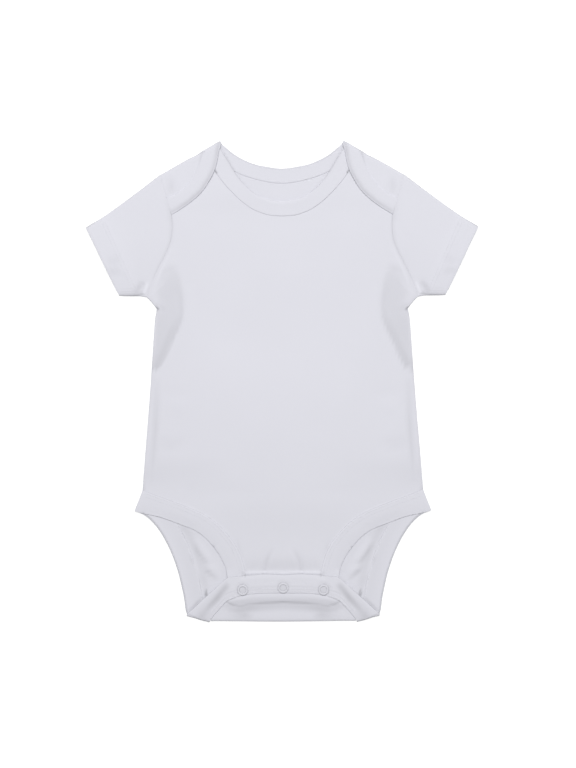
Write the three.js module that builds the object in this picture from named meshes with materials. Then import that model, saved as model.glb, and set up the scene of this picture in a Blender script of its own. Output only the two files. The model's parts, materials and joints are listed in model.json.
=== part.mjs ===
// Baby bodysuit with short sleeves, laid flat with its front up.
// Millimetres: X runs across the body, Y towards the neck, Z up from the surface it lies on.
// The origin is midway along its length and width, at the underside. Tables give the right half.
import * as THREE from 'three';

const { lerp, smoothstep } = THREE.MathUtils;

// Walls and clearances
const CLOTH = 1.0;            // knit of the panels
const BINDING = 1.6;          // folded strip that binds an edge
const HEM = 1.5;              // turned-up end of a sleeve
const SEAM_GAP = 0.3;         // between two sewn pieces
const FOLD_GAP = 0.5;         // the same where both pieces fold over
const ARMHOLE_GAP = 0.4;      // the same at the armhole, measured across the body
const FLOOR_LAYER = CLOTH / 2;
const FLOOR_BINDING = BINDING / 2;

// Heights of the undersides of the upper layers
const FRONT_REST = CLOTH + SEAM_GAP;
const BINDING_CLEARANCE = 0.05;
const BINDING_STEP = BINDING - CLOTH + BINDING_CLEARANCE;
const FLAP_UNDER = 3.45;      // at the snap band, on the front's bound end
const FOLD_UNDER = 2.4;       // at the bottom fold

// Lines across the body
const LEG_LINE_Y = -95.0;     // where the leg bindings meet the side seams
const CHEST_LINE_Y = 78.0;    // between the underarms
const FOLD_LINE_Y = -210.5;   // bottom fold of the crotch flap
const FOLD_LINE_HALF = 63.8;
const FRONT_CROTCH_Y = -172.7;
const FRONT_CROTCH_HALF = 33.0;

// Half columns of a panel: those along the neck seam, then those along the shoulder
const NECK_COLUMNS = 8;
const SHOULDER_COLUMNS = 5;
const HALF_COLUMNS = NECK_COLUMNS + SHOULDER_COLUMNS;
const FOLD_ANGLES = [45, 0, -45];
const STRIP_CELLS = 2;

// Shoulder fold of the back, from the binding's seam to the armhole, and the way in from it
const SHOULDER_FOLD = { neckX: 69.2, neckY: 203.9, armX: 107.4, armY: 182.5 };
const SHOULDER_INWARD = { x: -0.489, y: -0.872 };
const UPWARD = { x: 0, y: 1 };

// Side seam from the leg line to the underarm
const sideSeam = [
  { x: 123.3, y: -95.0 },
  { x: 121.2, y: -66.0 },
  { x: 119.2, y: -40.9 },
  { x: 117.5, y: -19.0 },
  { x: 115.9, y: 1.3 },
  { x: 114.4, y: 22.0 },
  { x: 112.9, y: 43.6 },
  { x: 112.0, y: 55.0 },
  { x: 111.4, y: 62.9 },
  { x: 113.3, y: 67.0 },
  { x: 115.6, y: 71.5 },
  { x: 117.4, y: 73.6 },
  { x: 119.4, y: 74.9 },
];

// Armhole seam from the underarm to the shoulder, through these points
const armholeLine = [
  { x: 119.6, y: 74.9 },
  { x: 115.2, y: 87.6 },
  { x: 109.4, y: 100.6 },
  { x: 102.8, y: 113.4 },
  { x: 98.2, y: 124.6 },
  { x: 97.0, y: 136.0 },
  { x: 97.6, y: 147.0 },
  { x: 101.7, y: 162.4 },
  { x: 105.6, y: 173.4 },
  { x: 107.4, y: 182.5 },
];
const ARM_STEPS = 2;          // rows from each of these points to the next
const armhole = new THREE.SplineCurve(armholeLine.map((p) => new THREE.Vector2(p.x, p.y)))
  .getPoints((armholeLine.length - 1) * ARM_STEPS);
const LAP_END_ROW = 14;       // armhole row where the cloth of the shoulder lap ends

// Sleeve: line of the hem and line of the cuff, each from the lower edge to the upper edge
const sleeveHem = { lowX: 125.2, lowY: 76.0, highX: 156.3, highY: 146.3 };
const sleeveCuff = { lowX: 143.4, lowY: 76.1, highX: 171.6, highY: 135.5 };
const SLEEVE_BODY_STEPS = [0, 0.3, 0.65, 0.97];
const SLEEVE_HEM_STEPS = [0.06, 0.5, 1];
const SLEEVE_EDGE_AIR = 0.35;  // between the sleeve's layers at its two edges
const SLEEVE_AIR = 1.8;        // more in between, which grows along the sleeve over this range
const sleeveAirRange = { start: -0.4, end: 0.5 };
const SLEEVE_RISE_ROW = 10;    // armhole row from which the sleeve rises to the shoulder lap

// Sections of the front neck binding, from the middle to its end under the lap
const frontNeckSections = [
  { edgeX: 0, edgeY: 158.2, seamX: 0, seamY: 145.4 },
  { edgeX: 10.6, edgeY: 159.7, seamX: 12.6, seamY: 146.3 },
  { edgeX: 19.8, edgeY: 162.7, seamX: 25.4, seamY: 151.0 },
  { edgeX: 28.6, edgeY: 168.8, seamX: 36.8, seamY: 159.2 },
  { edgeX: 36.1, edgeY: 176.9, seamX: 45.8, seamY: 168.2 },
  { edgeX: 41.2, edgeY: 183.9, seamX: 52.4, seamY: 175.7 },
  { edgeX: 45.2, edgeY: 190.5, seamX: 57.2, seamY: 182.4 },
  { edgeX: 50.2, edgeY: 199.1, seamX: 61.8, seamY: 190.2 },
  { edgeX: 56.0, edgeY: 206.2, seamX: 67.0, seamY: 198.6 },
];

// Sections of the back neck binding, from the middle towards the shoulder fold
const backNeckSections = [
  { edgeX: 0, edgeY: 187.0, seamX: 0, seamY: 174.3 },
  { edgeX: 7.2, edgeY: 187.6, seamX: 7.8, seamY: 174.7 },
  { edgeX: 14.3, edgeY: 189.0, seamX: 16.0, seamY: 176.2 },
  { edgeX: 22.2, edgeY: 190.6, seamX: 25.4, seamY: 178.7 },
  { edgeX: 30.2, edgeY: 193.6, seamX: 35.0, seamY: 182.0 },
  { edgeX: 38.0, edgeY: 197.6, seamX: 44.0, seamY: 186.4 },
  { edgeX: 43.3, edgeY: 201.1, seamX: 51.0, seamY: 190.9 },
  { edgeX: 48.6, edgeY: 205.5, seamX: 58.4, seamY: 196.2 },
];
const shoulderApex = { edgeX: 54.6, edgeY: 211.6, seamX: 69.2, seamY: 203.9 };

// Sections of the same binding on the lap, from below the shoulder fold to the armhole
const lapSections = [
  { edgeX: 55.6, edgeY: 203.4, seamX: 70.4, seamY: 198.6 },
  { edgeX: 56.8, edgeY: 195.4, seamX: 71.8, seamY: 194.0 },
  { edgeX: 58.9, edgeY: 187.6, seamX: 74.6, seamY: 187.2 },
  { edgeX: 63.2, edgeY: 178.6, seamX: 78.5, seamY: 179.6 },
  { edgeX: 70.4, edgeY: 167.4, seamX: 84.6, seamY: 171.6 },
  { edgeX: 82.4, edgeY: 157.0, seamX: 92.6, seamY: 165.6 },
  { edgeX: 96.6, edgeY: 147.9, seamX: 101.2, seamY: 162.2 },
];
const LAP_SIDE_ROWS = 2;      // lap sections that bound the cloth's inner side

// Sections of the front leg binding, from the crotch corner to the side seam
const frontLegSections = [
  { edgeX: 48.7, edgeY: -188.6, seamX: 33.0, seamY: -172.7 },
  { edgeX: 48.8, edgeY: -170.0, seamX: 33.3, seamY: -168.2 },
  { edgeX: 50.2, edgeY: -164.1, seamX: 34.8, seamY: -160.6 },
  { edgeX: 52.7, edgeY: -158.2, seamX: 37.5, seamY: -152.0 },
  { edgeX: 56.1, edgeY: -151.5, seamX: 42.0, seamY: -142.8 },
  { edgeX: 61.2, edgeY: -144.8, seamX: 48.8, seamY: -134.0 },
  { edgeX: 67.0, edgeY: -138.1, seamX: 56.4, seamY: -125.8 },
  { edgeX: 73.7, edgeY: -132.5, seamX: 64.4, seamY: -119.6 },
  { edgeX: 81.2, edgeY: -128.5, seamX: 73.4, seamY: -114.4 },
  { edgeX: 93.0, edgeY: -124.0, seamX: 86.6, seamY: -108.9 },
  { edgeX: 104.4, edgeY: -119.6, seamX: 98.6, seamY: -104.4 },
  { edgeX: 113.0, edgeY: -117.2, seamX: 107.5, seamY: -101.3 },
  { edgeX: 122.2, edgeY: -115.4, seamX: 115.6, seamY: -98.3 },
  { edgeX: 129.2, edgeY: -113.2, seamX: 123.3, seamY: -95.0 },
];

// Sections of the back binding along the crotch flap: the snap band, from its middle to the corner
const flapSections = [
  { edgeX: 0, edgeY: -170.0, seamX: 0, seamY: -185.9 },
  { edgeX: 4.2, edgeY: -169.8, seamX: 4.1, seamY: -185.9 },
  { edgeX: 8.4, edgeY: -169.5, seamX: 8.2, seamY: -185.9 },
  { edgeX: 12.5, edgeY: -169.2, seamX: 12.3, seamY: -185.9 },
  { edgeX: 16.6, edgeY: -169.1, seamX: 16.4, seamY: -186.0 },
  { edgeX: 20.8, edgeY: -169.3, seamX: 20.5, seamY: -186.0 },
  { edgeX: 25.0, edgeY: -169.7, seamX: 24.6, seamY: -186.2 },
  { edgeX: 29.0, edgeY: -169.9, seamX: 28.2, seamY: -186.6 },
  { edgeX: 33.0, edgeY: -170.2, seamX: 31.8, seamY: -187.2 },
  { edgeX: 36.8, edgeY: -170.8, seamX: 35.4, seamY: -187.8 },
  { edgeX: 40.4, edgeY: -171.3, seamX: 38.8, seamY: -188.5 },
  { edgeX: 43.8, edgeY: -171.5, seamX: 42.4, seamY: -189.8 },
  { edgeX: 46.8, edgeY: -171.7, seamX: 46.2, seamY: -191.2 },
  { edgeX: 49.0, edgeY: -172.2, seamX: 49.8, seamY: -192.8 },
];

// Where that binding folds under at the lowest corner of the leg
const bottomFold = { edgeX: 83.1, edgeY: -205.0, seamX: 64.4, seamY: -211.6 };

// Sections of the back binding down the back leg edge, from the bottom fold to the side seam
const backLegSections = [
  { edgeX: 85.7, edgeY: -200.2, seamX: 68.6, seamY: -199.5 },
  { edgeX: 87.2, edgeY: -189.6, seamX: 71.4, seamY: -187.5 },
  { edgeX: 89.4, edgeY: -179.1, seamX: 73.6, seamY: -175.5 },
  { edgeX: 91.9, edgeY: -168.5, seamX: 76.6, seamY: -163.6 },
  { edgeX: 95.3, edgeY: -158.0, seamX: 80.2, seamY: -152.2 },
  { edgeX: 99.5, edgeY: -147.4, seamX: 84.6, seamY: -140.9 },
  { edgeX: 104.9, edgeY: -136.8, seamX: 90.5, seamY: -129.5 },
  { edgeX: 110.4, edgeY: -128.4, seamX: 96.9, seamY: -119.8 },
  { edgeX: 116.6, edgeY: -121.3, seamX: 105.0, seamY: -110.3 },
  { edgeX: 123.4, edgeY: -115.9, seamX: 114.0, seamY: -101.9 },
  { edgeX: 129.6, edgeY: -113.3, seamX: 123.3, seamY: -95.0 },
];

// Air between front and back along the middle, and half width of the body, by place along it
const bodyProfile = [
  { y: -212, air: 0.1, half: 84.0 },
  { y: -168, air: 0.2, half: 92.0 },
  { y: -145, air: 0.7, half: 100.0 },
  { y: -110, air: 1.6, half: 122.0 },
  { y: -60, air: 2.6, half: 120.7 },
  { y: 20, air: 3.1, half: 114.5 },
  { y: 63, air: 3.1, half: 111.5 },
  { y: 95, air: 2.9, half: 112.0 },
  { y: 130, air: 2.0, half: 98.0 },
  { y: 150, air: 1.1, half: 98.4 },
  { y: 185, air: 0.1, half: 108.0 },
  { y: 212, air: 0, half: 108.0 },
];
const CROWN_POWER = 4;        // how flat the chest is before it falls to the sides

// Ramps on which the upper layers rise over a binding below them
const neckRamp = { startY: 148, endY: 166, innerX: 70, outerX: 88 };
const legRamp = { startY: -75, endY: -92, innerX: 78, outerX: 92 };
const lapRamp = { startY: 160, endY: 180, innerX: 68, outerX: 84 };

// Soft trough in front of each underarm, bounded on the inside by an arc
const trough = { innerX: 86.9, middleY: 62, bend: 0.0105, width: 13, share: 0.8 };

// Ring snaps, as the half profile of one cap
const SNAP_SIDE = { x: 35.6, y: -183.2 };
const SNAP_MIDDLE_Y = -181.4;
const SNAP_SEGMENTS = 24;
const snapProfile = [
  { radius: 0, height: 0 },
  { radius: 4.5, height: 0 },
  { radius: 4.75, height: 0.35 },
  { radius: 4.4, height: 0.9 },
  { radius: 3.8, height: 0.9 },
  { radius: 3.4, height: 0.45 },
  { radius: 2.9, height: 0.5 },
  { radius: 1.8, height: 0.85 },
  { radius: 0, height: 1.0 },
];

function profileAt(y, column) {
  const above = bodyProfile.findIndex((row) => row.y >= y);
  if (above <= 0) {
    return bodyProfile[0][column];
  }
  const low = bodyProfile[above - 1];
  const high = bodyProfile[above];
  return lerp(low[column], high[column], (y - low.y) / (high.y - low.y));
}

const rampAlong = (ramp, y) => smoothstep((y - ramp.startY) / (ramp.endY - ramp.startY), 0, 1);
const rampAcross = (ramp, x) => smoothstep(Math.abs(x), ramp.innerX, ramp.outerX);

// Underside of everything on the front layer
function frontUnder(x, y) {
  const across = Math.min(Math.abs(x) / profileAt(y, 'half'), 1);
  const arcX = trough.innerX + trough.bend * (y - trough.middleY) ** 2;
  const inTrough = smoothstep(Math.abs(x), arcX, arcX + trough.width);
  const crown = (1 - across ** CROWN_POWER) * (1 - trough.share * inTrough);
  const overNeck = rampAlong(neckRamp, y) * (1 - rampAcross(neckRamp, x));
  const overLeg = rampAlong(legRamp, y) * rampAcross(legRamp, x);
  return FRONT_REST + profileAt(y, 'air') * crown + BINDING_STEP * Math.max(overNeck, overLeg);
}

// Underside of the shoulder lap, which clears the front binding's end near the neck
function lapUnder(x, y) {
  const overBinding = rampAlong(lapRamp, y) * (1 - rampAcross(lapRamp, x));
  return frontUnder(x, y) + CLOTH + SEAM_GAP + BINDING_STEP * overBinding;
}

function flat(x, y) {
  return new THREE.Vector3(x, y, FLOOR_LAYER);
}

function onFront(x, y) {
  return new THREE.Vector3(x, y, frontUnder(x, y) + CLOTH / 2);
}

function onLap(x, y) {
  return new THREE.Vector3(x, y, lapUnder(x, y) + CLOTH / 2);
}

// Point of a folded layer: outline is where the fold ends in plan, angle runs from 90 on top
// to -90 below
function foldPoint(outline, inward, upperMiddle, lowerMiddle, wall, angle) {
  const radius = (upperMiddle - lowerMiddle) / 2;
  const turn = THREE.MathUtils.degToRad(angle);
  const inset = wall / 2 + radius * (1 - Math.cos(turn));
  const x = outline.x + inward.x * inset;
  const y = outline.y + inward.y * inset;
  return new THREE.Vector3(x, y, (upperMiddle + lowerMiddle) / 2 + radius * Math.sin(turn));
}

// Rows of points that fill the area between four edges, each a list of plan points
function fillBetween(bottom, top, left, right) {
  const columns = bottom.length - 1;
  const rows = left.length - 1;
  const blend = (axis, r, c) => {
    const u = c / columns;
    const v = r / rows;
    const upright = lerp(bottom[c][axis], top[c][axis], v);
    const level = lerp(left[r][axis], right[r][axis], u);
    const low = lerp(bottom[0][axis], bottom[columns][axis], u);
    const high = lerp(top[0][axis], top[columns][axis], u);
    return upright + level - lerp(low, high, v);
  };
  return left.map((_, r) => bottom.map((__, c) => ({ x: blend('x', r, c), y: blend('y', r, c) })));
}

function evenPoints(start, end, steps) {
  return Array.from({ length: steps + 1 }, (_, i) => ({
    x: lerp(start.x, end.x, i / steps),
    y: lerp(start.y, end.y, i / steps),
  }));
}

// Points with one more midway between each two
function withMiddles(points) {
  return points.flatMap((point, i) => (
    i === 0 ? [point] : [...evenPoints(points[i - 1], point, 2).slice(1)]
  ));
}

// Points on the middle line
function middleLine(fromY, toY, steps) {
  return evenPoints({ x: 0, y: fromY }, { x: 0, y: toY }, steps);
}

// Right halves of the leg line and the chest line, which end at the side seam
const columnShares = Array.from({ length: HALF_COLUMNS + 1 }, (_, i) => i / HALF_COLUMNS);
const underarm = sideSeam.at(-1);
const legRow = columnShares.map((u) => ({ x: u * sideSeam[0].x, y: LEG_LINE_Y }));
const chestRow = columnShares.map((u) => ({
  x: u * underarm.x,
  y: lerp(CHEST_LINE_Y, underarm.y, u ** CROWN_POWER),
}));

function mirrored(point) {
  return point && new THREE.Vector3(-point.x, point.y, point.z);
}

// Whole row from its right half, whose first point lies on the middle line
function wholeRow(half) {
  return [...half.slice(1).reverse().map(mirrored), ...half];
}

const seamPoint = (section) => ({ x: section.seamX, y: section.seamY });
const bodySide = (point) => ({ x: point.x - ARMHOLE_GAP / 2, y: point.y });

// Closed wall round a net of middle points; a missing point leaves the net open there
function clothWall(rows, wallAt, ring = false) {
  const columns = rows[0].length;
  const lastColumn = ring ? columns : columns - 1;
  const index = (r, c) => r * columns + c;
  const points = rows.flat();
  const normals = points.map(() => new THREE.Vector3());
  const cells = [];
  for (let r = 0; r < rows.length - 1; r += 1) {
    for (let c = 0; c < lastColumn; c += 1) {
      const next = (c + 1) % columns;
      const cell = [index(r, c), index(r, next), index(r + 1, next), index(r + 1, c)];
      if (cell.every((corner) => points[corner])) {
        cells.push(cell);
      }
    }
  }
  for (const cell of cells) {
    const [a, b, c, d] = cell.map((corner) => points[corner]);
    const facing = c.clone().sub(a).cross(d.clone().sub(b)).normalize();
    cell.forEach((corner) => normals[corner].add(facing));
  }
  const positions = new Float32Array(points.length * 6);
  points.forEach((point, i) => {
    if (point) {
      const shift = normals[i].normalize().multiplyScalar(wallAt(Math.floor(i / columns)) / 2);
      point.clone().add(shift).toArray(positions, i * 3);
      point.clone().sub(shift).toArray(positions, (points.length + i) * 3);
    }
  });
  const inner = (i) => points.length + i;
  const triangles = [];
  const edges = new Set();
  for (const [a, b, c, d] of cells) {
    triangles.push(a, b, c, a, c, d);
    triangles.push(inner(a), inner(c), inner(b), inner(a), inner(d), inner(c));
    [[a, b], [b, c], [c, d], [d, a]].forEach(([from, to]) => edges.add(`${from} ${to}`));
  }
  for (const edge of edges) {
    const [from, to] = edge.split(' ').map(Number);
    if (!edges.has(`${to} ${from}`)) {
      triangles.push(to, from, inner(from), to, inner(from), inner(to));
    }
  }
  const geometry = new THREE.BufferGeometry();
  geometry.setAttribute('position', new THREE.BufferAttribute(positions, 3));
  geometry.setIndex(triangles);
  return geometry;
}

const panelWall = (rows) => clothWall(rows, () => CLOTH);

// Front of the body, from the crotch end to the neck seam and the shoulders under the laps
function frontPanel() {
  const crotchRow = columnShares.map((u) => ({ x: u * FRONT_CROTCH_HALF, y: FRONT_CROTCH_Y }));
  const armSide = armhole.slice(0, -ARM_STEPS).map(bodySide);
  const neckEnd = seamPoint(frontNeckSections.at(-1));
  const topRow = [
    ...frontNeckSections.map(seamPoint),
    ...evenPoints(neckEnd, armSide.at(-1), SHOULDER_COLUMNS).slice(1),
  ];
  const legSide = frontLegSections.map(seamPoint);
  const legs = middleLine(FRONT_CROTCH_Y, LEG_LINE_Y, legSide.length - 1);
  const torso = middleLine(LEG_LINE_Y, CHEST_LINE_Y, sideSeam.length - 1);
  const chest = middleLine(CHEST_LINE_Y, topRow[0].y, armSide.length - 1);
  const plan = [
    ...fillBetween(crotchRow, legRow, legs, legSide),
    ...fillBetween(legRow, chestRow, torso, sideSeam).slice(1),
    ...fillBetween(chestRow, topRow, chest, armSide).slice(1),
  ];
  return panelWall(plan.map((row) => wholeRow(row.map((p) => onFront(p.x, p.y)))));
}

// Rows of the crotch flap between the snap band and the bottom fold: a puffed roll under the band,
// the crease below it, and the flat stretch to the fold
const flapRows = [
  { share: 0, lift: 0 },
  { share: 0.17, lift: 0.7 },
  { share: 0.36, lift: -0.8 },
  { share: 0.66, lift: -0.15 },
];
const FLAP_SIDE_POWER = 8;    // how near the sides the roll keeps its height

// Crotch flap of the back, from its seam with the snap band over the bottom fold
function flapNet() {
  const band = FLAP_UNDER + CLOTH / 2;
  const upper = FOLD_UNDER + CLOTH / 2;
  const foldLine = columnShares.map((u) => ({ x: u * FOLD_LINE_HALF, y: FOLD_LINE_Y }));
  const foldRow = (angle) => foldLine.map((p) => foldPoint(p, UPWARD, upper, FLOOR_LAYER, CLOTH, angle));
  const tangent = foldRow(90);
  const flap = flapRows.map(({ share, lift }) => flapSections.map((section, c) => {
    const inside = 1 - columnShares[c] ** FLAP_SIDE_POWER;
    return new THREE.Vector3(
      lerp(section.seamX, tangent[c].x, share),
      lerp(section.seamY, tangent[c].y, share),
      lerp(band, upper, share) + lift * inside,
    );
  }));
  return [...flap, tangent, ...FOLD_ANGLES.map(foldRow), foldRow(-90)];
}

// Points of the shoulder fold, one for each shoulder column
const shoulderFoldLine = evenPoints(
  { x: SHOULDER_FOLD.neckX, y: SHOULDER_FOLD.neckY },
  { x: SHOULDER_FOLD.armX - ARMHOLE_GAP / 2, y: SHOULDER_FOLD.armY },
  SHOULDER_COLUMNS,
);

function shoulderRow(angle) {
  return shoulderFoldLine.map((p) => {
    const upper = lapUnder(p.x, p.y) + CLOTH / 2;
    return foldPoint(p, SHOULDER_INWARD, upper, FLOOR_LAYER, CLOTH, angle);
  });
}

// Shoulder lap of the back on top of the front, from the shoulder fold to its binding's seam
function lapNet() {
  const start = shoulderRow(90);
  const seam = lapSections.map(seamPoint);
  const inner = withMiddles([start[0], ...seam.slice(0, LAP_SIDE_ROWS)]);
  const end = seam.slice(LAP_SIDE_ROWS - 1);
  const outer = [start.at(-1), ...armhole.slice(LAP_END_ROW, -1).reverse().map(bodySide)];
  end[end.length - 1] = outer.at(-1);
  const rows = fillBetween(start, end, inner, outer);
  return [start, ...rows.slice(1).map((row) => row.map((p) => onLap(p.x, p.y)))];
}

// Back of the body in one piece with its two shoulder laps and its crotch flap
function backPanel() {
  const flap = flapNet();
  const foldEnd = flap.at(-1);
  const lowTangent = shoulderRow(-90);
  const topRow = [...backNeckSections.map(seamPoint), ...lowTangent];
  const armSide = [...armhole.slice(0, -1).map(bodySide), lowTangent.at(-1)];
  const legSide = [foldEnd.at(-1), ...backLegSections.map(seamPoint)];
  const sideRows = sideSeam.filter((_, i) => i % 2 === 0);
  const legs = middleLine(foldEnd[0].y, LEG_LINE_Y, legSide.length - 1);
  const torso = middleLine(LEG_LINE_Y, CHEST_LINE_Y, sideRows.length - 1);
  const chest = middleLine(CHEST_LINE_Y, topRow[0].y, armSide.length - 1);
  const floorRows = [
    ...fillBetween(foldEnd, legRow, legs, legSide),
    ...fillBetween(legRow, chestRow, torso, sideRows).slice(1),
    ...fillBetween(chestRow, topRow, chest, armSide).slice(1),
  ];
  const floor = floorRows.slice(1).map((row) => wholeRow(row.map((p) => flat(p.x, p.y))));
  const open = Array(NECK_COLUMNS).fill(null);
  const laps = [...FOLD_ANGLES.toReversed().map(shoulderRow), ...lapNet()];
  return panelWall([
    ...flap.map(wholeRow),
    ...floor,
    ...laps.map((row) => wholeRow([...open, ...row])),
  ]);
}

// One sleeve: a flattened tube from the armhole to the cuff, its hem a thicker wall
function sleeve() {
  const rows = [];
  const walls = [];
  const last = armhole.length - 1;
  const lineAt = (line, i) => ({
    x: lerp(line.lowX, line.highX, i / last),
    y: lerp(line.lowY, line.highY, i / last),
  });
  const addRing = (planAt, step, wall) => {
    const plan = armhole.map((_, i) => planAt(i));
    const shoulderRise = (i) => (CLOTH + SEAM_GAP) * smoothstep(i, SLEEVE_RISE_ROW, last) * (1 - step);
    const grown = smoothstep(step, sleeveAirRange.start, sleeveAirRange.end);
    const airAt = (i) => SLEEVE_EDGE_AIR + SLEEVE_AIR * Math.sin(Math.PI * (i / last)) * grown;
    const upperAt = (i) => wall + wall / 2 + airAt(i) + shoulderRise(i);
    const endPoint = (i, towards, angle) => {
      const across = new THREE.Vector2(plan[towards].x - plan[i].x, plan[towards].y - plan[i].y);
      return foldPoint(plan[i], across.normalize(), upperAt(i), wall / 2, wall, angle);
    };
    const between = plan.slice(1, -1);
    rows.push([
      ...between.map((p, i) => new THREE.Vector3(p.x, p.y, upperAt(i + 1))),
      ...[90, ...FOLD_ANGLES, -90].map((angle) => endPoint(last, last - 1, angle)),
      ...between.map((p) => new THREE.Vector3(p.x, p.y, wall / 2)).reverse(),
      ...[-90, ...FOLD_ANGLES.toReversed(), 90].map((angle) => endPoint(0, 1, angle)),
    ]);
    walls.push(wall);
  };
  const armAt = (i) => ({ x: armhole[i].x + ARMHOLE_GAP / 2, y: armhole[i].y });
  const ruled = (from, to, share) => ({ x: lerp(from.x, to.x, share), y: lerp(from.y, to.y, share) });
  for (const share of SLEEVE_BODY_STEPS) {
    addRing((i) => ruled(armAt(i), lineAt(sleeveHem, i), share), share, CLOTH);
  }
  for (const share of SLEEVE_HEM_STEPS) {
    addRing((i) => ruled(lineAt(sleeveHem, i), lineAt(sleeveCuff, i), share), 1, HEM);
  }
  return clothWall(rows, (r) => walls[r], true);
}

// One section of a binding: points across it from beside the seam to the free edge
function acrossStrip(section, pointAt, gap = SEAM_GAP) {
  const seam = new THREE.Vector2(section.seamX, section.seamY);
  const edge = new THREE.Vector2(section.edgeX, section.edgeY);
  const start = seam.clone().add(edge.clone().sub(seam).setLength(gap));
  return Array.from({ length: STRIP_CELLS + 1 }, (_, i) => (
    pointAt(start.clone().lerp(edge, i / STRIP_CELLS))
  ));
}

// Sections with one more between each two: straight along the seam, smooth along the free edge
function refined(sections) {
  const edge = new THREE.SplineCurve(sections.map((s) => new THREE.Vector2(s.edgeX, s.edgeY)));
  return sections.flatMap((section, i) => {
    if (i === sections.length - 1) {
      return [section];
    }
    const next = sections[i + 1];
    const middle = edge.getPoint((i + 0.5) / (sections.length - 1));
    const between = {
      edgeX: middle.x,
      edgeY: middle.y,
      seamX: (section.seamX + next.seamX) / 2,
      seamY: (section.seamY + next.seamY) / 2,
    };
    return [section, between];
  });
}

// Whole binding from the sections of its right half
function bindingWall(half) {
  const left = half.slice(1).reverse().map((row) => row.map(mirrored));
  return clothWall([...left, ...half], () => BINDING);
}

function frontNeckBinding() {
  return bindingWall(refined(frontNeckSections).map((section) => acrossStrip(
    section,
    (p) => new THREE.Vector3(p.x, p.y, frontUnder(p.x, p.y) + BINDING / 2),
  )));
}

function backNeckBinding() {
  const onFloor = refined(backNeckSections).map((section) => acrossStrip(
    section,
    (p) => new THREE.Vector3(p.x, p.y, FLOOR_BINDING),
  ));
  const folded = [-90, ...FOLD_ANGLES.toReversed(), 90].map((angle) => acrossStrip(
    shoulderApex,
    (p) => {
      const upper = lapUnder(p.x, p.y) + BINDING / 2;
      return foldPoint(p, SHOULDER_INWARD, upper, FLOOR_BINDING, BINDING, angle);
    },
    FOLD_GAP,
  ));
  const onTop = refined(lapSections).map((section) => acrossStrip(
    section,
    (p) => new THREE.Vector3(p.x, p.y, lapUnder(p.x, p.y) + BINDING / 2),
  ));
  return bindingWall([...onFloor, ...folded, ...onTop]);
}

function frontLegBinding() {
  const crotchEnd = [0, 0.5].map((u) => ({
    edgeX: u * frontLegSections[0].edgeX,
    edgeY: frontLegSections[0].edgeY,
    seamX: u * FRONT_CROTCH_HALF,
    seamY: FRONT_CROTCH_Y,
  }));
  const legs = [frontLegSections[0], ...refined(frontLegSections.slice(1))];
  return bindingWall([...crotchEnd, ...legs].map((section) => acrossStrip(
    section,
    (p) => new THREE.Vector3(p.x, p.y, frontUnder(p.x, p.y) + BINDING / 2),
  )));
}

function backLegBinding() {
  const upper = FOLD_UNDER + BINDING / 2;
  const flap = flapSections.map((section, i) => acrossStrip(
    section,
    (p) => new THREE.Vector3(p.x, p.y, FLAP_UNDER + BINDING / 2),
    i < HALF_COLUMNS ? SEAM_GAP : FOLD_GAP,
  ));
  const folded = [90, ...FOLD_ANGLES, -90].map((angle) => acrossStrip(
    bottomFold,
    (p) => foldPoint(p, UPWARD, upper, FLOOR_BINDING, BINDING, angle),
    FOLD_GAP,
  ));
  const lastFlap = flap.at(-1);
  const approach = flapRows.slice(1).map(({ share }) => (
    lastFlap.map((p, i) => p.clone().lerp(folded[0][i], share))
  ));
  const down = refined(backLegSections).map((section) => acrossStrip(
    section,
    (p) => new THREE.Vector3(p.x, p.y, FLOOR_BINDING),
  ));
  return bindingWall([...flap, ...approach, ...folded, ...down]);
}

function snapCap() {
  const geometry = new THREE.LatheGeometry(
    snapProfile.map((row) => new THREE.Vector2(row.radius, row.height)),
    SNAP_SEGMENTS,
  );
  geometry.rotateX(Math.PI / 2);
  return geometry;
}

const knit = () => new THREE.MeshStandardMaterial({ color: 0xe6e6ec, roughness: 0.95, metalness: 0 });
const bindingKnit = () => new THREE.MeshStandardMaterial({ color: 0xe3e3e9, roughness: 0.95, metalness: 0 });
const snapWhite = () => new THREE.MeshStandardMaterial({ color: 0xe8e8ee, roughness: 0.4, metalness: 0 });

const bodysuit = new THREE.Group();

function addPiece(name, geometry, material) {
  const piece = new THREE.Mesh(geometry, material);
  piece.name = name;
  bodysuit.add(piece);
  return piece;
}

addPiece('back_panel', backPanel(), knit());
addPiece('front_panel', frontPanel(), knit());
addPiece('neck_binding_back', backNeckBinding(), bindingKnit());
addPiece('neck_binding_front', frontNeckBinding(), bindingKnit());
addPiece('leg_binding_back', backLegBinding(), bindingKnit());
addPiece('leg_binding_front', frontLegBinding(), bindingKnit());

const rightSleeve = sleeve();
const leftSleeve = rightSleeve.clone().scale(-1, 1, 1);
leftSleeve.setIndex([...leftSleeve.index.array].reverse());
addPiece('sleeve_right', rightSleeve, knit());
addPiece('sleeve_left', leftSleeve, knit());

const snapHeight = FLAP_UNDER + BINDING + SEAM_GAP;
const snapPlaces = [
  { name: 'snap_left', x: -SNAP_SIDE.x, y: SNAP_SIDE.y },
  { name: 'snap_center', x: 0, y: SNAP_MIDDLE_Y },
  { name: 'snap_right', x: SNAP_SIDE.x, y: SNAP_SIDE.y },
];
for (const place of snapPlaces) {
  addPiece(place.name, snapCap(), snapWhite()).position.set(place.x, place.y, snapHeight);
}

export default bodysuit;
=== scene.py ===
# %% [markdown]
# # A knitted baby bodysuit, laid flat
# The bodysuit lies on its back on a pale surface and is seen from straight above. It is made of fine
# white cotton knit: a back whose shoulder ends lap over the front, a front, two short sleeves, and
# folded strips that bind the neck and the legs. Three ring snaps close the crotch.
# The solids give every piece its place and size. The lesson dresses each of them in cloth.

import json
import math

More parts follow.
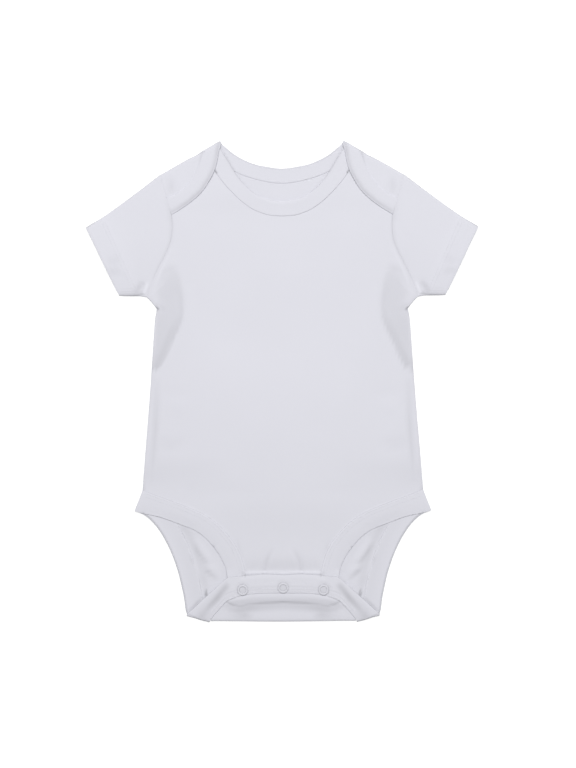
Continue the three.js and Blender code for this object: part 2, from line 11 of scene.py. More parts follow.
import bpy
import numpy as np
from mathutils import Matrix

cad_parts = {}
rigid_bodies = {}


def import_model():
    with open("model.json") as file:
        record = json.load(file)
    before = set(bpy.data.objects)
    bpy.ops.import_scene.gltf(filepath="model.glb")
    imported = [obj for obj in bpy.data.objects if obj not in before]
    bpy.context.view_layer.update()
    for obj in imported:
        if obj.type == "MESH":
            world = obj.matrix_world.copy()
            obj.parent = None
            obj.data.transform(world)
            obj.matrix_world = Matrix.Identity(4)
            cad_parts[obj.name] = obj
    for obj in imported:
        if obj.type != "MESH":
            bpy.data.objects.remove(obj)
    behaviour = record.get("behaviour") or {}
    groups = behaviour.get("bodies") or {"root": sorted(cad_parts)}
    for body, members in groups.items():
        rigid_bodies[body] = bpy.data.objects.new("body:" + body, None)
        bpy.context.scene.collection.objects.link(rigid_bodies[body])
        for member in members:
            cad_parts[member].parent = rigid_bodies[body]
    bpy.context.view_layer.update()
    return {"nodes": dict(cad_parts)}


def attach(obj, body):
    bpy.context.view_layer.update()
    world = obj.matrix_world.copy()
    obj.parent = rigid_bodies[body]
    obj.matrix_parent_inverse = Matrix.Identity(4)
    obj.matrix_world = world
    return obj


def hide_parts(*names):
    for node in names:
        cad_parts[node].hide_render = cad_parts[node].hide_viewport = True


bpy.ops.object.select_all(action="SELECT")
bpy.ops.object.delete()
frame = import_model()
MM = 0.001

# %% [markdown]
# ## A cloth piece on its solid's form
# Real knit is about a millimetre thick and has the shape of the solid, only smoother. It could be
# draped by a cloth simulation, but this garment was smoothed flat by hand, so a simulation would only
# shake it out of place. The solid's mesh is copied instead, its loose triangles are merged and turned
# into quads, and its cut edges are creased, so that a subdivision surface rounds the cloth and
# leaves its outline alone. The subdivision also blunts the pointed corners a little, so a short table
# pulls every piece out again around them, on both halves alike.

# %% Pull corners out
def table(columns, *rows):
    """Rows of values under the columns' names."""
    return [dict(zip(columns.split(), row)) for row in rows]


CORNERS = table(
    "at reach move",
    ((54.8, 212.0), 7, (0.2, 0.7)),
    ((0.0, 190.0), 32, (0.0, 0.6)),
    ((76.0, 200.5), 5, (-0.3, -0.6)),
    ((172.0, 136.0), 12, (1.0, 0.9)),
    ((157.0, 106.0), 34, (0.4, -0.2)),
    ((144.4, 76.2), 4, (-0.3, 0.4)),
    ((132.0, 165.0), 32, (-0.25, -0.5)),
    ((111.4, 64.0), 6, (-1.5, 0.3)),
    ((110.4, 64.4), 3, (-1.4, 0.0)),
    ((118.0, -20.0), 60, (-0.35, 0.0)),
    ((0.0, -186.0), 26, (0.0, 0.4)),
    ((129.5, -112.0), 9, (0.9, -0.3)),
    ((83.2, -205.0), 5, (1.6, -1.0)),
    ((74.0, -209.5), 7, (0.0, -1.1)),
    ((0.0, -211.0), 40, (0.0, -0.8)),
)


def points_of(piece, kind="co"):
    flat = np.empty(len(piece.data.vertices) * 3, np.float32)
    piece.data.vertices.foreach_get(kind, flat)
    return flat.reshape(-1, 3).astype(float)


def right_half(points):
    """Places in millimetres, with the left half laid on the right one."""
    x, y, z = points.T / MM
    return np.abs(x), y, z


def move_points(piece, points):
    piece.data.vertices.foreach_set("co", points.astype(np.float32).ravel())
    piece.data.update()


def nudge(piece, corners):
    points = points_of(piece)
    side = np.sign(points[:, 0])
    x, y, _ = right_half(points)
    for corner in corners:
        near = np.hypot(x - corner["at"][0], y - corner["at"][1])
        share = np.exp(-((near / corner["reach"]) ** 2))
        points[:, 0] += side * share * corner["move"][0] * MM
        points[:, 1] += share * corner["move"][1] * MM
    move_points(piece, points)


print("corners pulled out:", len(CORNERS))

# %% Copy a solid's mesh as cloth
RIM_ANGLE = math.radians(62)
QUAD_ANGLE = math.radians(80)
MERGE = 0.01 * MM


def select_only(piece):
    bpy.ops.object.select_all(action="DESELECT")
    piece.select_set(True)
    bpy.context.view_layer.objects.active = piece


def apply_modifier(piece, kind, **settings):
    modifier = piece.modifiers.new(kind.title(), kind)
    for setting, value in settings.items():
        setattr(modifier, setting, value)
    select_only(piece)
    bpy.ops.object.modifier_apply(modifier=modifier.name)


def placed(name, data):
    piece = bpy.data.objects.new(name, data)
    bpy.context.scene.collection.objects.link(piece)
    return piece


def cloth_from(node, name, level=2):
    piece = placed(name, frame["nodes"][node].data.copy())
    piece.data.name = name
    piece.data.materials.clear()
    select_only(piece)
    bpy.ops.object.mode_set(mode="EDIT")
    bpy.ops.mesh.select_mode(type="EDGE")
    bpy.ops.mesh.select_all(action="SELECT")
    bpy.ops.mesh.remove_doubles(threshold=MERGE)
    bpy.ops.mesh.tris_convert_to_quads(face_threshold=RIM_ANGLE, shape_threshold=QUAD_ANGLE)
    bpy.ops.mesh.select_all(action="DESELECT")
    bpy.ops.mesh.edges_select_sharp(sharpness=RIM_ANGLE)
    bpy.ops.transform.edge_crease(value=1.0)
    bpy.ops.object.mode_set(mode="OBJECT")
    apply_modifier(piece, "SUBSURF", levels=level, render_levels=level)
    nudge(piece, CORNERS)
    print(name, "faces:", len(piece.data.polygons))
    return piece


print("cut edges are sharper than", round(math.degrees(RIM_ANGLE)), "degrees")

# %% [markdown]
# ## Creases placed one by one
# A crease is a soft ridge or trough along a short curved line. Each row below gives its two ends and
# its middle on the right half of the garment, its width and its height, in millimetres, and which of
# its ends run out. A negative height is a trough. The left half has the same ones, as the
# garment was smoothed evenly. Sculpting could do it too, but rows of numbers can be read and corrected.

# %% Measure along a line
CURVE_STEPS = 12


def place_on_line(line, x, y):
    """Distance from a line of points, and place along it from 0 to 1, for each x and y."""
    near = np.full(len(x), np.inf)
    place = np.zeros(len(x))
    for step in range(len(line) - 1):
        (ax, ay), (bx, by) = line[step], line[step + 1]
        run = (bx - ax) ** 2 + (by - ay) ** 2
        share = np.clip(((x - ax) * (bx - ax) + (y - ay) * (by - ay)) / run, 0, 1)
        away = np.hypot(x - ax - share * (bx - ax), y - ay - share * (by - ay))
        place = np.where(away < near, (step + share) / (len(line) - 1), place)
        near = np.minimum(away, near)
    return near, place


def curved_line(start, middle, end):
    start, middle, end = (np.array(p, float) for p in (start, middle, end))
    pull = 2 * middle - (start + end) / 2
    t = np.linspace(0, 1, CURVE_STEPS + 1)[:, None]
    return (1 - t) ** 2 * start + 2 * t * (1 - t) * pull + t**2 * end


def smooth_step(value, low, high):
    share = np.clip((value - low) / (high - low), 0, 1)
    return share * share * (3 - 2 * share)


print("steps on a curved line:", CURVE_STEPS)

# %% Press creases into a piece
LOWEST, HIGHEST = -1.0, 99.0
FACING_UP = 0.1
SWELL = 0.7
FULL_UNTIL = 0.25
RUNS_OUT = {
    "both": lambda place: np.sin(np.pi * place) ** SWELL,
    "end": lambda place: 1 - smooth_step(place, FULL_UNTIL, 1),
    "none": lambda place: np.ones_like(place),
}


def crease(piece, rows, above=LOWEST, below=HIGHEST, tops_only=False):
    """Moves the points between two heights (mm) along the rows' lines, or only their upper faces."""
    points = points_of(piece)
    x, y, z = right_half(points)
    lift = np.zeros(len(x))
    for row in rows:
        near, place = place_on_line(row["line"], x, y)
        lift += row["height"] * np.exp(-((near / row["width"]) ** 2)) * RUNS_OUT[row["out"]](place)
    if tops_only:
        lift *= points_of(piece, "normal")[:, 2] > FACING_UP
    points[:, 2] += lift * (z > above) * (z < below) * MM
    move_points(piece, points)
    print(piece.name, "creases:", len(rows), "lift mm:", round(lift.min(), 2), round(lift.max(), 2))


def row(start, middle, end, width, height, out="both"):
    return {"line": curved_line(start, middle, end), "width": width, "height": height, "out": out}


def long_row(line, width, height):
    return {"line": line, "width": width, "height": height, "out": "none"}


print("ways to run out:", list(RUNS_OUT))

# %% [markdown]
# ## Slack in the cloth
# Even smoothed cloth is never quite level. A few long shallow waves, each with its own direction,
# length and height in millimetres, keep the light from lying on it as on a board. They are the same
# on each run, because they are sums of sines and hold nothing random.

# %% Add slow waves
SLACK_WAVES = table(
    "turn length height shift",
    (12, 71, 0.05, 0.3),
    (67, 47, 0.04, 1.7),
    (118, 93, 0.07, 2.9),
    (161, 38, 0.025, 4.1),
)


def slack(piece, amount, above=LOWEST):
    points = points_of(piece)
    x, y, z = (points / MM).T
    lift = np.zeros(len(x))
    for wave in SLACK_WAVES:
        turn = math.radians(wave["turn"])
        along = x * math.cos(turn) + y * math.sin(turn)
        lift += wave["height"] * np.sin(2 * np.pi * along / wave["length"] + wave["shift"])
    points[:, 2] += amount * lift * (z > above) * MM
    move_points(piece, points)
    print(piece.name, "slack mm:", round(amount * np.abs(lift).max(), 2))


print("waves:", len(SLACK_WAVES))

# %% [markdown]
# ## Soft edges
# A cut edge turned into a seam, and still more a folded strip, has no sharp corner. The rims are
# spread a little, so that neighbours meet at their seams, and a small bevel round every edge of the
# wall gives it the roll that catches the light.

# %% Round the rims and shade smoothly
SMOOTH_ANGLE = math.radians(50)


def spread_rims(piece, reach, above=HIGHEST, high_reach=0.0):
    """Moves the points outwards level, so that only the rims move and the seams close."""
    points = points_of(piece)
    far = np.where(points[:, 2] > above * MM, high_reach, reach)
    points[:, :2] += points_of(piece, "normal")[:, :2] * far[:, None] * MM
    move_points(piece, points)


def soften(piece, radius, segments):
    apply_modifier(
        piece,
        "BEVEL",
        width=radius * MM,
        segments=segments,
        limit_method="ANGLE",
        angle_limit=RIM_ANGLE,
        use_clamp_overlap=True,
    )
    bpy.ops.object.shade_smooth_by_angle(angle=SMOOTH_ANGLE)
    print(piece.name, "triangles:", sum(len(p.vertices) - 2 for p in piece.data.polygons))


print("shaded smooth up to", round(math.degrees(SMOOTH_ANGLE)), "degrees")

# %% [markdown]
# ## Painted shade and highlight in the folds
# Where cloth lies in a fold, its neighbour keeps some of the soft light off it. The relief here is
# only a few millimetres, too low for the light alone to show that, so each fold also writes a value
# of painted shade into an attribute of its piece, 0 on level cloth and about 1 in a deep fold, and
# the knit is painted a little greyer there. A row's shade starts at its line and fades over its
# width, to one side of the line or to both. A negative depth is a ridge: it takes shade away and
# paints the knit a little lighter, a painted highlight.

# %% Write the shade attribute
RIDGE_LIGHT = 0.15
HOLDS = 0.35


def side_of_line(line, x, y):
    """Distance from a line, positive to the left of its run, and place along it from 0 to 1."""
    near, place = place_on_line(line, x, y)
    step = np.minimum((place * (len(line) - 1)).astype(int), len(line) - 2)
    start, run = line[step], line[step + 1] - line[step]
    left = run[:, 0] * (y - start[:, 1]) - run[:, 1] * (x - start[:, 0])
    return np.sign(left) * near, place


def shade_of(points, rows):
    """The deepest shade of the rows at each point, less the strongest light."""
    x, y, _ = right_half(points)
    dark, light = np.zeros(len(x)), np.zeros(len(x))
    for row in rows:
        away, place = side_of_line(np.array(row["line"], float), x, y)
        if row["side"] == "both":
            fade = np.exp(-((away / row["width"]) ** 2))
        else:
            away = away if row["side"] == "left" else -away
            fade = smooth_step(away, -row["edge"], row["edge"])
            fade *= 1 - smooth_step(away, HOLDS * row["width"], row["width"])
        depth = fade * np.interp(place, np.linspace(0, 1, len(row["depth"])), row["depth"])
        dark, light = np.maximum(dark, depth), np.minimum(light, depth)
    return dark * np.maximum(1 + light, 0) + RIDGE_LIGHT * light


def shade(piece, rows, above=LOWEST, low_rows=()):
    """Writes the shade of the rows above a height (mm), and that of the low rows below it."""
    points = points_of(piece)
    z = points[:, 2] / MM
    values = shade_of(points, rows) * (z > above) + shade_of(points, low_rows) * (z < above)
    attribute = piece.data.attributes.new("shade", "FLOAT", "POINT")
    attribute.data.foreach_set("value", values.astype(np.float32))
    print(piece.name, "shaded points:", int((values > 0).sum()))


print("a ridge lightens the knit by", RIDGE_LIGHT, "of its depth")

# %% Write one row of shade
CIRCLE_STEPS = 24


def shade_row(line, width, depth, side="both", edge=1.5):
    return {"line": line, "width": width, "depth": depth, "side": side, "edge": edge}


def circle(place, radius):
    turns = np.linspace(0, 2 * math.pi, CIRCLE_STEPS + 1)
    return [(place[0] + radius * math.cos(t), place[1] + radius * math.sin(t)) for t in turns]


def offset_line(line, away):
    """The line moved sideways, to its left for a positive distance."""
    line = np.array(line, float)
    run = np.gradient(line, axis=0)
    run /= np.linalg.norm(run, axis=1)[:, None]
    return line + away * np.stack([-run[:, 1], run[:, 0]], axis=1)


def shade_rows(*rows):
    """Rows of shade from a table with the columns line, width, depth and, if need be, side and edge."""
    return [shade_row(*columns) for columns in rows]


print("steps round a circle:", CIRCLE_STEPS)

# %% [markdown]
# ## Lines that several pieces share
# A crease, a shade and a row of stitches may all follow one seam or one free edge. Each line is a
# short table of places on the right half, in millimetres, in the order of its run.

# %% Lines round the arms, the neck and the sides
ARMHOLE = [
    (107.4, 182.5), (105.6, 173.4), (101.7, 162.4), (97.6, 147), (97, 136), (98.2, 124.6),
    (102.8, 113.4), (109.4, 100.6), (115.2, 87.6), (119.6, 74.9),
]
LAP_EDGE = [
    (54.6, 211.6), (55.6, 203.4), (56.8, 195.4), (58.9, 187.6), (63.2, 178.6), (70.4, 167.4),
    (82.4, 157), (96.6, 147.9),
]
NECKLINE = [
    (54.6, 209), (50.2, 199.1), (44.9, 190), (41.8, 184.4), (36.1, 176.9), (28.6, 168.8),
    (19.8, 162.7),
]
BACK_NECK_EDGE = [
    (0, 188.2), (7.2, 188.7), (14.3, 190), (22.2, 191.5), (30.2, 194.3), (38, 198.2), (43.3, 201.6),
    (48.6, 206),
]
SHOULDER = [(55, 213.8), (69.6, 205.2), (88, 194.6), (106, 184.2), (140, 159.3), (171.5, 136.5)]
CUFF = [(172.6, 135.6), (144.4, 76.2)]
SIDE_SEAM = [(110.2, 63.8), (112.2, 55), (115.5, 15), (119, -30), (122.9, -80), (123.6, -95)]
print("points round the armhole:", len(ARMHOLE), "on the lap's edge:", len(LAP_EDGE))

# %% Lines round the legs and the crotch
LEG_EDGE = [
    (50.2, -164.1), (52.7, -158.2), (56.1, -151.5), (61.2, -144.8), (67, -138.1), (73.7, -132.5),
    (81.2, -128.5), (93, -124), (104.4, -119.6), (113, -117.2), (122.2, -115.4),
]
FRONT_LEG_SEAM = [
    (33.6, -167), (35, -160.4), (37.7, -151.8), (42.2, -142.6), (49, -133.6), (56.6, -125.4),
    (64.6, -119.2), (73.6, -114), (86.8, -108.4), (98.8, -103.9), (107.6, -100.8), (115.6, -97.9),
    (121, -96.2),
]
SNAP_BAND_SEAM = [
    (0, -185.9), (12.3, -185.9), (24.6, -186.2), (31.8, -187.2), (38.8, -188.5), (45, -190.6),
    (49.8, -193.2), (55, -198.9), (60, -204.3),
]
BACK_LEG_SEAM = [
    (68.6, -199.5), (71.4, -187.5), (73.6, -175.5), (76.6, -163.6), (80.2, -152.2), (84.6, -140.9),
    (90.5, -129.5), (96.9, -119.8),
]
BACK_LEG_EDGE = [
    (85.2, -204), (86.4, -200.2), (87.8, -189.6), (90, -179.1), (92.5, -168.5), (95.9, -158),
    (100.1, -147.4), (105.4, -136.8), (110.8, -128.4), (117, -121.3), (123.8, -115.9),
]
SNAPS = {"left": (-35.6, -183.2), "center": (0.0, -181.4), "right": (35.6, -183.2)}
print("points on the leg's front edge:", len(LEG_EDGE), "on its back edge:", len(BACK_LEG_EDGE))

# %% [markdown]
# ### Shade and light along these lines
# A seam is a thin dark line, and the fold of cloth beside it often catches the light. Rows with a
# depth above 0 paint shade and those below 0 paint a highlight. A piece takes the rows of all the
# lines that touch it.

# %% Shade the edges and the seams
lap_shade = shade_row(offset_line(LAP_EDGE, 0.9), 1.8, [0.45, 0.5, 0.4, 0.4, 0.45, 0.47, 0.4, 0.2])
neckline_shade = shade_row(NECKLINE, 0.9, [0.2, 0.4, 0.4, 0.35, 0.2, 0.0, 0.0])
# Painted highlight along the front leg strip's seam.
leg_seam_light = shade_row(FRONT_LEG_SEAM, 1.0, [-0.6, -0.8, -0.9, -0.8, -0.6, -0.3, -0.2])
neck_front = [(31, 171), (19.8, 162.7), (10, 159.2), (0, 158)]
neck_edge_light = shade_row(neck_front, 1.2, [0.0, -1.0, -1.3, -1.3])
leg_edge_shades = shade_rows(
    (LEG_EDGE, 1.5, [0.1, 0.1, 0.1, 0.2, 0.3, 0.35]),
    (LEG_EDGE, 0.8, [0, 0, -0.4, -0.9, -1.1, -0.9]),
    (offset_line(LEG_EDGE, 3.2), 2.6, [0, 0, -0.4, -0.8, -1, -0.8]),
)
lap_light = shade_row(offset_line(LAP_EDGE, -0.4), 1.0, [-0.5, -0.6, -0.6, -0.4, -0.7, -0.8, -0.8, -0.5])
# Painted shade and highlight in thin strokes where the leg strip's seam ends, for a bar tack's ridges.
bar_tack_shade_and_light = shade_rows(
    ([(32.8, -165.6), (33.3, -171)], 0.55, [0.5, 1.1]),
    ([(34.1, -165.6), (34.6, -171)], 0.5, [-1.2, -1.5]),
    ([(35.3, -165.6), (35.8, -170.6)], 0.5, [0.3, 0.3]),
    ([(36.5, -165.6), (37, -170.6)], 0.5, [-1, -1]),
)
lap_seam_light = shade_row(
    [(101.8, 161.9), (92.6, 165.6), (84.6, 171.6), (78.5, 179.6)], 0.9, [-0.8, -0.6, -0.2, 0.0]
)
diagonal_light = shade_row([(49.0, -172.4), (68.8, -191.2), (84.6, -204.2)], 0.9, [-0.4, -0.6, -0.5])
# Painted highlight along the back leg strip's seam.
back_seam_light = shade_row(BACK_LEG_SEAM, 1.0, [-0.4, -0.4])
slit_shade = shade_row([(60.9, 189.6), (57.6, 184.0)], 0.8, [2.2, 1.6])
edge_shades = shade_rows(
    (offset_line(BACK_LEG_EDGE, 0.8), 0.8, [1, 1.1]),
    (BACK_NECK_EDGE, 0.8, [0.6, 0.6]),
    (SHOULDER, 0.8, [0.7, 0.5, 0.5, 0.5, 0.5, 0.4]),
    (CUFF, 0.8, [0.1, 0.2]),
    (SIDE_SEAM, 0.8, [0.3, 0.3]),
)
print("rows on the outer edges:", len(edge_shades), "on the leg's edge:", len(leg_edge_shades))

# %% [markdown]
# ## Node group: knit loops
# Fine jersey shows upright columns of small V-shaped loops. An image of knit would do, but a pattern
# worked out from the piece's own coordinates stays sharp at any size. Across a column the height
# falls to both sides of two leaning legs, and along it a cosine makes one loop after another.

# %% Helpers for node trees
def new_group(name, inputs, outputs):
    group = bpy.data.node_groups.new(name, "ShaderNodeTree")
    for label, kind, value in inputs:
        socket = group.interface.new_socket(name=label, in_out="INPUT", socket_type=kind)
        if value is not None:
            socket.default_value = value
    for label, kind in outputs:
        group.interface.new_socket(name=label, in_out="OUTPUT", socket_type=kind)
    return group, group.nodes.new("NodeGroupInput"), group.nodes.new("NodeGroupOutput")


def new_node(tree, kind, inputs=(), **settings):
    """A node with its settings, and with a value or a link in each of its sockets named."""
    node = tree.nodes.new("ShaderNode" + kind)
    for setting, value in settings.items():
        setattr(node, setting, value)
    fill(tree, node, inputs)
    return node


def fill(tree, node, inputs):
    for socket, value in dict(inputs).items():
        if isinstance(value, bpy.types.NodeSocket):
            tree.links.new(value, node.inputs[socket])
        else:
            node.inputs[socket].default_value = value


def math_node(tree, operation, *values):
    return new_node(tree, "Math", enumerate(values), operation=operation).outputs[0]


print("node groups before:", len(bpy.data.node_groups))

# %% Build the knit loops group
LOOP_DEPTH = 0.3


def knit_loops_group():
    group, given, made = new_group(
        "Knit loops",
        [
            ("Vector", "NodeSocketVector", None),
            ("Column width", "NodeSocketFloat", 0.75 * MM),
            ("Loop height", "NodeSocketFloat", 0.6 * MM),
            ("Lean", "NodeSocketFloat", 0.9),
        ],
        [("Height", "NodeSocketFloat")],
    )
    split = new_node(group, "SeparateXYZ", {"Vector": given.outputs["Vector"]})
    across = math_node(group, "DIVIDE", split.outputs["X"], given.outputs["Column width"])
    along = math_node(group, "DIVIDE", split.outputs["Y"], given.outputs["Loop height"])
    inside = math_node(group, "FRACT", across)
    off_middle = math_node(group, "ABSOLUTE", math_node(group, "SUBTRACT", inside, 0.5))
    leaning = math_node(group, "MULTIPLY", off_middle, given.outputs["Lean"])
    phase = math_node(group, "MULTIPLY", math_node(group, "ADD", along, leaning), 2 * math.pi)
    loop = math_node(group, "MULTIPLY", math_node(group, "COSINE", phase), LOOP_DEPTH)
    sway = math_node(group, "SINE", math_node(group, "MULTIPLY", across, 2 * math.pi))
    leg = math_node(group, "ABSOLUTE", sway)
    height = math_node(group, "MULTIPLY", leg, math_node(group, "ADD", loop, 1 - LOOP_DEPTH))
    fill(group, made, {"Height": height})
    return group


knit_loops = knit_loops_group()
print("group:", knit_loops.name, "nodes:", len(knit_loops.nodes))

# %% [markdown]
# ## Node group: cotton tone
# Bleached cotton isn't one flat white. Its tone drifts a little over a hand's breadth, it is flecked
# with fibres, and it is rougher where the surface has been rubbed. One group gives a colour, a
# roughness and a fine fuzz height, from three sizes of noise.

# %% Build the cotton tone group
DRIFT_SCALE = 14
FLECK_SCALE = 900
FUZZ_SCALE = 2600
COTTON_ROUGHNESS = 0.9
ROUGHNESS_SPREAD = 0.25


def noise_node(tree, vector, scale, detail):
    inputs = {"Vector": vector, "Scale": scale, "Detail": detail}
    return new_node(tree, "TexNoise", inputs).outputs["Fac"]


def cotton_tone_group():
    group, given, made = new_group(
        "Cotton tone",
        [
            ("Vector", "NodeSocketVector", None),
            ("Colour", "NodeSocketColor", (0.7, 0.7, 0.75, 1)),
            ("Drift", "NodeSocketFloat", 0.03),
            ("Flecks", "NodeSocketFloat", 0.03),
        ],
        [("Color", "NodeSocketColor"), ("Roughness", "NodeSocketFloat"), ("Fuzz", "NodeSocketFloat")],
    )
    vector = given.outputs["Vector"]
    drift = math_node(group, "SUBTRACT", noise_node(group, vector, DRIFT_SCALE, 2), 0.5)
    flecks = math_node(group, "SUBTRACT", noise_node(group, vector, FLECK_SCALE, 3), 0.5)
    fuzz = noise_node(group, vector, FUZZ_SCALE, 2)
    drifting = math_node(group, "MULTIPLY", drift, given.outputs["Drift"])
    flecked = math_node(group, "MULTIPLY", flecks, given.outputs["Flecks"])
    bright = math_node(group, "ADD", math_node(group, "ADD", drifting, flecked), 1.0)
    scaled = new_node(
        group, "VectorMath", {0: given.outputs["Colour"], "Scale": bright}, operation="SCALE"
    )
    spread = math_node(group, "MULTIPLY", flecks, ROUGHNESS_SPREAD)
    rough = math_node(group, "ADD", spread, COTTON_ROUGHNESS)
    fill(group, made, {"Color": scaled.outputs[0], "Roughness": rough, "Fuzz": fuzz})
    return group


cotton_tone = cotton_tone_group()
print("group:", cotton_tone.name, "nodes:", len(cotton_tone.nodes))

# %% [markdown]
# ## The knit materials
# The panels, the sleeves and the binding strips are all cut from white knit, but the loops run along
# each piece as it was cut. One function makes them: tone and loops come from the two groups, the
# loops go through a bump of under a tenth of a millimetre, the sheen is the cotton's nap, and the
# shade attribute paints shade into the folds. Where a wall stands steep, at a rolled edge, the knit is
# painted greyer too, as painted shade. The strip on the laps is thinned at its edge, and its rims get
# less of this painted shade.

# %% Make a knit material
# Painted shade: the share of grey that the shade attribute and a steep rim each paint into the knit.
PAINTED_FOLD_SHADE = 0.3
PAINTED_RIM_SHADE = 0.5
FUZZ_SHARE = 0.35
BUMP_STRENGTH = 0.6


def new_material(name):
    material = bpy.data.materials.new(name)
    material.use_nodes = True
    return material, material.node_tree, material.node_tree.nodes["Principled BSDF"]


def knit_material(
    name, colour, turn=0.0, column=0.75, loop=0.6, lean=0.9, relief=0.07, painted_rim_shade=PAINTED_RIM_SHADE
):
    material, tree, shader = new_material(name)
    place = new_node(tree, "TexCoord").outputs["Object"]
    turned = new_node(tree, "Mapping", {"Vector": place, "Rotation": (0, 0, math.radians(turn))})
    vector = turned.outputs[0]
    tone = new_node(tree, "Group", {"Vector": vector, "Colour": colour}, node_tree=cotton_tone).outputs
    loop_sizes = {"Column width": column * MM, "Loop height": loop * MM, "Lean": lean}
    loops = new_node(tree, "Group", {"Vector": vector, **loop_sizes}, node_tree=knit_loops).outputs
    fuzzy = math_node(tree, "MULTIPLY", tone["Fuzz"], FUZZ_SHARE)
    height = math_node(tree, "ADD", loops["Height"], fuzzy)
    bump = new_node(
        tree, "Bump", {"Strength": BUMP_STRENGTH, "Distance": relief * MM, "Height": height}
    )
    # Painted shade: the shade attribute and steep rims grey the knit's base colour.
    fold = new_node(tree, "Attribute", attribute_name="shade").outputs["Fac"]
    normal = new_node(tree, "NewGeometry").outputs["True Normal"]
    upright = new_node(tree, "SeparateXYZ", {"Vector": normal}).outputs["Z"]
    steep = math_node(tree, "SUBTRACT", 1.0, math_node(tree, "ABSOLUTE", upright))
    edge = math_node(tree, "MULTIPLY", math_node(tree, "POWER", steep, 2.0), painted_rim_shade)
    grey = math_node(tree, "ADD", math_node(tree, "MULTIPLY", fold, PAINTED_FOLD_SHADE), edge)
    kept = math_node(tree, "SUBTRACT", 1.0, grey)
    greyer = new_node(tree, "VectorMath", {0: tone["Color"], "Scale": kept}, operation="SCALE")
    finish = {
        "Base Color": greyer.outputs[0],
        "Roughness": tone["Roughness"],
        "Normal": bump.outputs[0],
        "Specular IOR Level": 0.15,
        "Sheen Weight": 0.12,
        "Sheen Roughness": 0.6,
    }
    fill(tree, shader, finish)
    return material


print("steep rims are greyed by up to", PAINTED_RIM_SHADE)

# %% Make the knits
KNIT_WHITE = (0.600, 0.600, 0.649, 1)
BINDING_WHITE = (0.597, 0.597, 0.646, 1)
RIB = {"column": 1.0, "loop": 0.7, "lean": 0.5, "relief": 0.09}
body_knit = knit_material("Body knit", KNIT_WHITE)
sleeve_knits = {
    "right": knit_material("Sleeve knit right", KNIT_WHITE, turn=55),
    "left": knit_material("Sleeve knit left", KNIT_WHITE, turn=-55),
}
binding_knit = knit_material("Binding knit", BINDING_WHITE, **RIB)
# The lap strip's rims get less painted shade.
lap_knit = knit_material("Lap binding knit", BINDING_WHITE, painted_rim_shade=0.1, **RIB)
print("knit materials:", 1 + len(sleeve_knits) + 2)

# %% [markdown]
# ## Finishing a cloth piece
# Each piece takes its knit, rides on the root body, and hides the solid it stands for. The size it
# was cut to follows once the stitches are on.

# %% Finish a piece
def dress(piece, node, material):
    piece.data.materials.append(material)
    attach(piece, "root")
    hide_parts(node)
    print(piece.name, "stands for", node)


print("solids to dress:", len(frame["nodes"]))

# %% [markdown]
# ## The back
# The back is one piece of knit. Most of it lies on the floor and shows only in the neck and in the
# leg openings, where it has drawn into a few soft folds. Its shoulders fold over to the front as
# laps, and its crotch end folds up as the flap under the snaps. The part on the floor can
# only rise, so its folds are ridges, and the troughs are what is left between them.

# %% Fold the back's floor layer
FLOOR_TOP = 1.1
UPPER_LAYER = FLOOR_TOP + 1.2
PANEL_ROLL = 0.35
back_folds = [
    row((77, -137), (72.5, -150), (63.5, -160), 3, 1.1),
    row((85, -144), (80.5, -159), (69, -176), 2.8, 0.9),
    row((69, -161), (64, -165), (57, -170), 2.4, 0.7),
    row((66, -183), (65.2, -187), (64.8, -192), 1.4, 0.7),
    row((71.5, -181), (71.2, -186), (71.4, -191), 1.5, 0.5),
    long_row(LEG_EDGE[:9], 4, 0.6),
]
back_cloth = cloth_from("back_panel", "back_cloth")
slack(back_cloth, amount=0.5, above=FLOOR_TOP)
crease(back_cloth, back_folds, below=FLOOR_TOP)

# %% Crease its laps and its flap
PUFF_LINE = [(0, -194), (19.4, -194.8), (29.9, -195.8), (38.3, -197.6), (44.6, -196.5), (49.5, -193.7)]
lap_dimples = [
    row((95.5, 177), (96.5, 170), (94.5, 161), 3, -0.35),
    row((88.5, 181), (90, 174), (88, 166), 3.5, 0.25),
    long_row(PUFF_LINE, 1.3, -0.35),
]
crease(back_cloth, lap_dimples, above=UPPER_LAYER)

# %% [markdown]
# ### Shade on the back
# The layer on the floor and the layer folded over the front lie one above the other, so each has a
# table of shade of its own.

# %% Shade rows of the floor layer
back_shades = shade_rows(
    ([(79.5, -139), (76, -148), (68.4, -158.8)], 2.6, [0.1, 0.5, 0.3]),
    ([(71.1, -164.1), (66, -167.5), (59.7, -172.9)], 2.2, [0.25, 0.5, 0.2]),
    ([(84, -148), (80.5, -157), (76, -166)], 2.2, [0, 0.3, 0.1]),
    ([(68.4, -182.5), (67.9, -187), (67.4, -192.5)], 0.9, [0.6, 2.2, 1.4]),
    ([(100, -124.5), (88, -130), (78, -134.5)], 3, [0.1, 0.15, 0.1]),
    ([(70.3, -189.6), (75.5, -195), (80.9, -201.1)], 2.2, [0.3, 0.6, 0.6]),
    (offset_line(BACK_LEG_SEAM, 4), 4, [0.15, 0.25, 0.3, 0.25]),
    (offset_line(BACK_LEG_SEAM, -4.5), 6, [0.1, 0.12, 0.12, 0.1]),
)
back_shades += [diagonal_light, back_seam_light, neck_edge_light, *edge_shades]
print("rows on the floor layer:", len(back_shades))

# %% Shade rows of the laps and the flap
flap_shades = shade_rows(
    (PUFF_LINE, 9.5, [0.4, 0.5, 0.65, 0.6, 0.4, 0.1], "right", 0.6),
    ([(25, -207), (34, -205), (46, -206)], 4.5, [0, 0.45, 0.1]),
    (PUFF_LINE, 1.1, [1.2, 1, 0.7, 0.8, 0.8, 0.6]),
    (PUFF_LINE, 9, [0.12, 0.12, 0.12, 0.12, 0.12, 0.1], "left", 0.8),
    ([(0, -211.8), (40, -211.6), (64, -211.8)], 1.5, [0.6, 0.6, 0.6]),
    ([(97.5, 178), (98, 171), (96.5, 163)], 2.6, [0.1, 0.22, 0.1]),
    ([(69.6, 203), (72.3, 192), (74.5, 184)], 1.2, [0.5, 0.3, 0]),
)
flap_shades += [lap_seam_light, *edge_shades]
print("rows on the upper layer:", len(flap_shades))

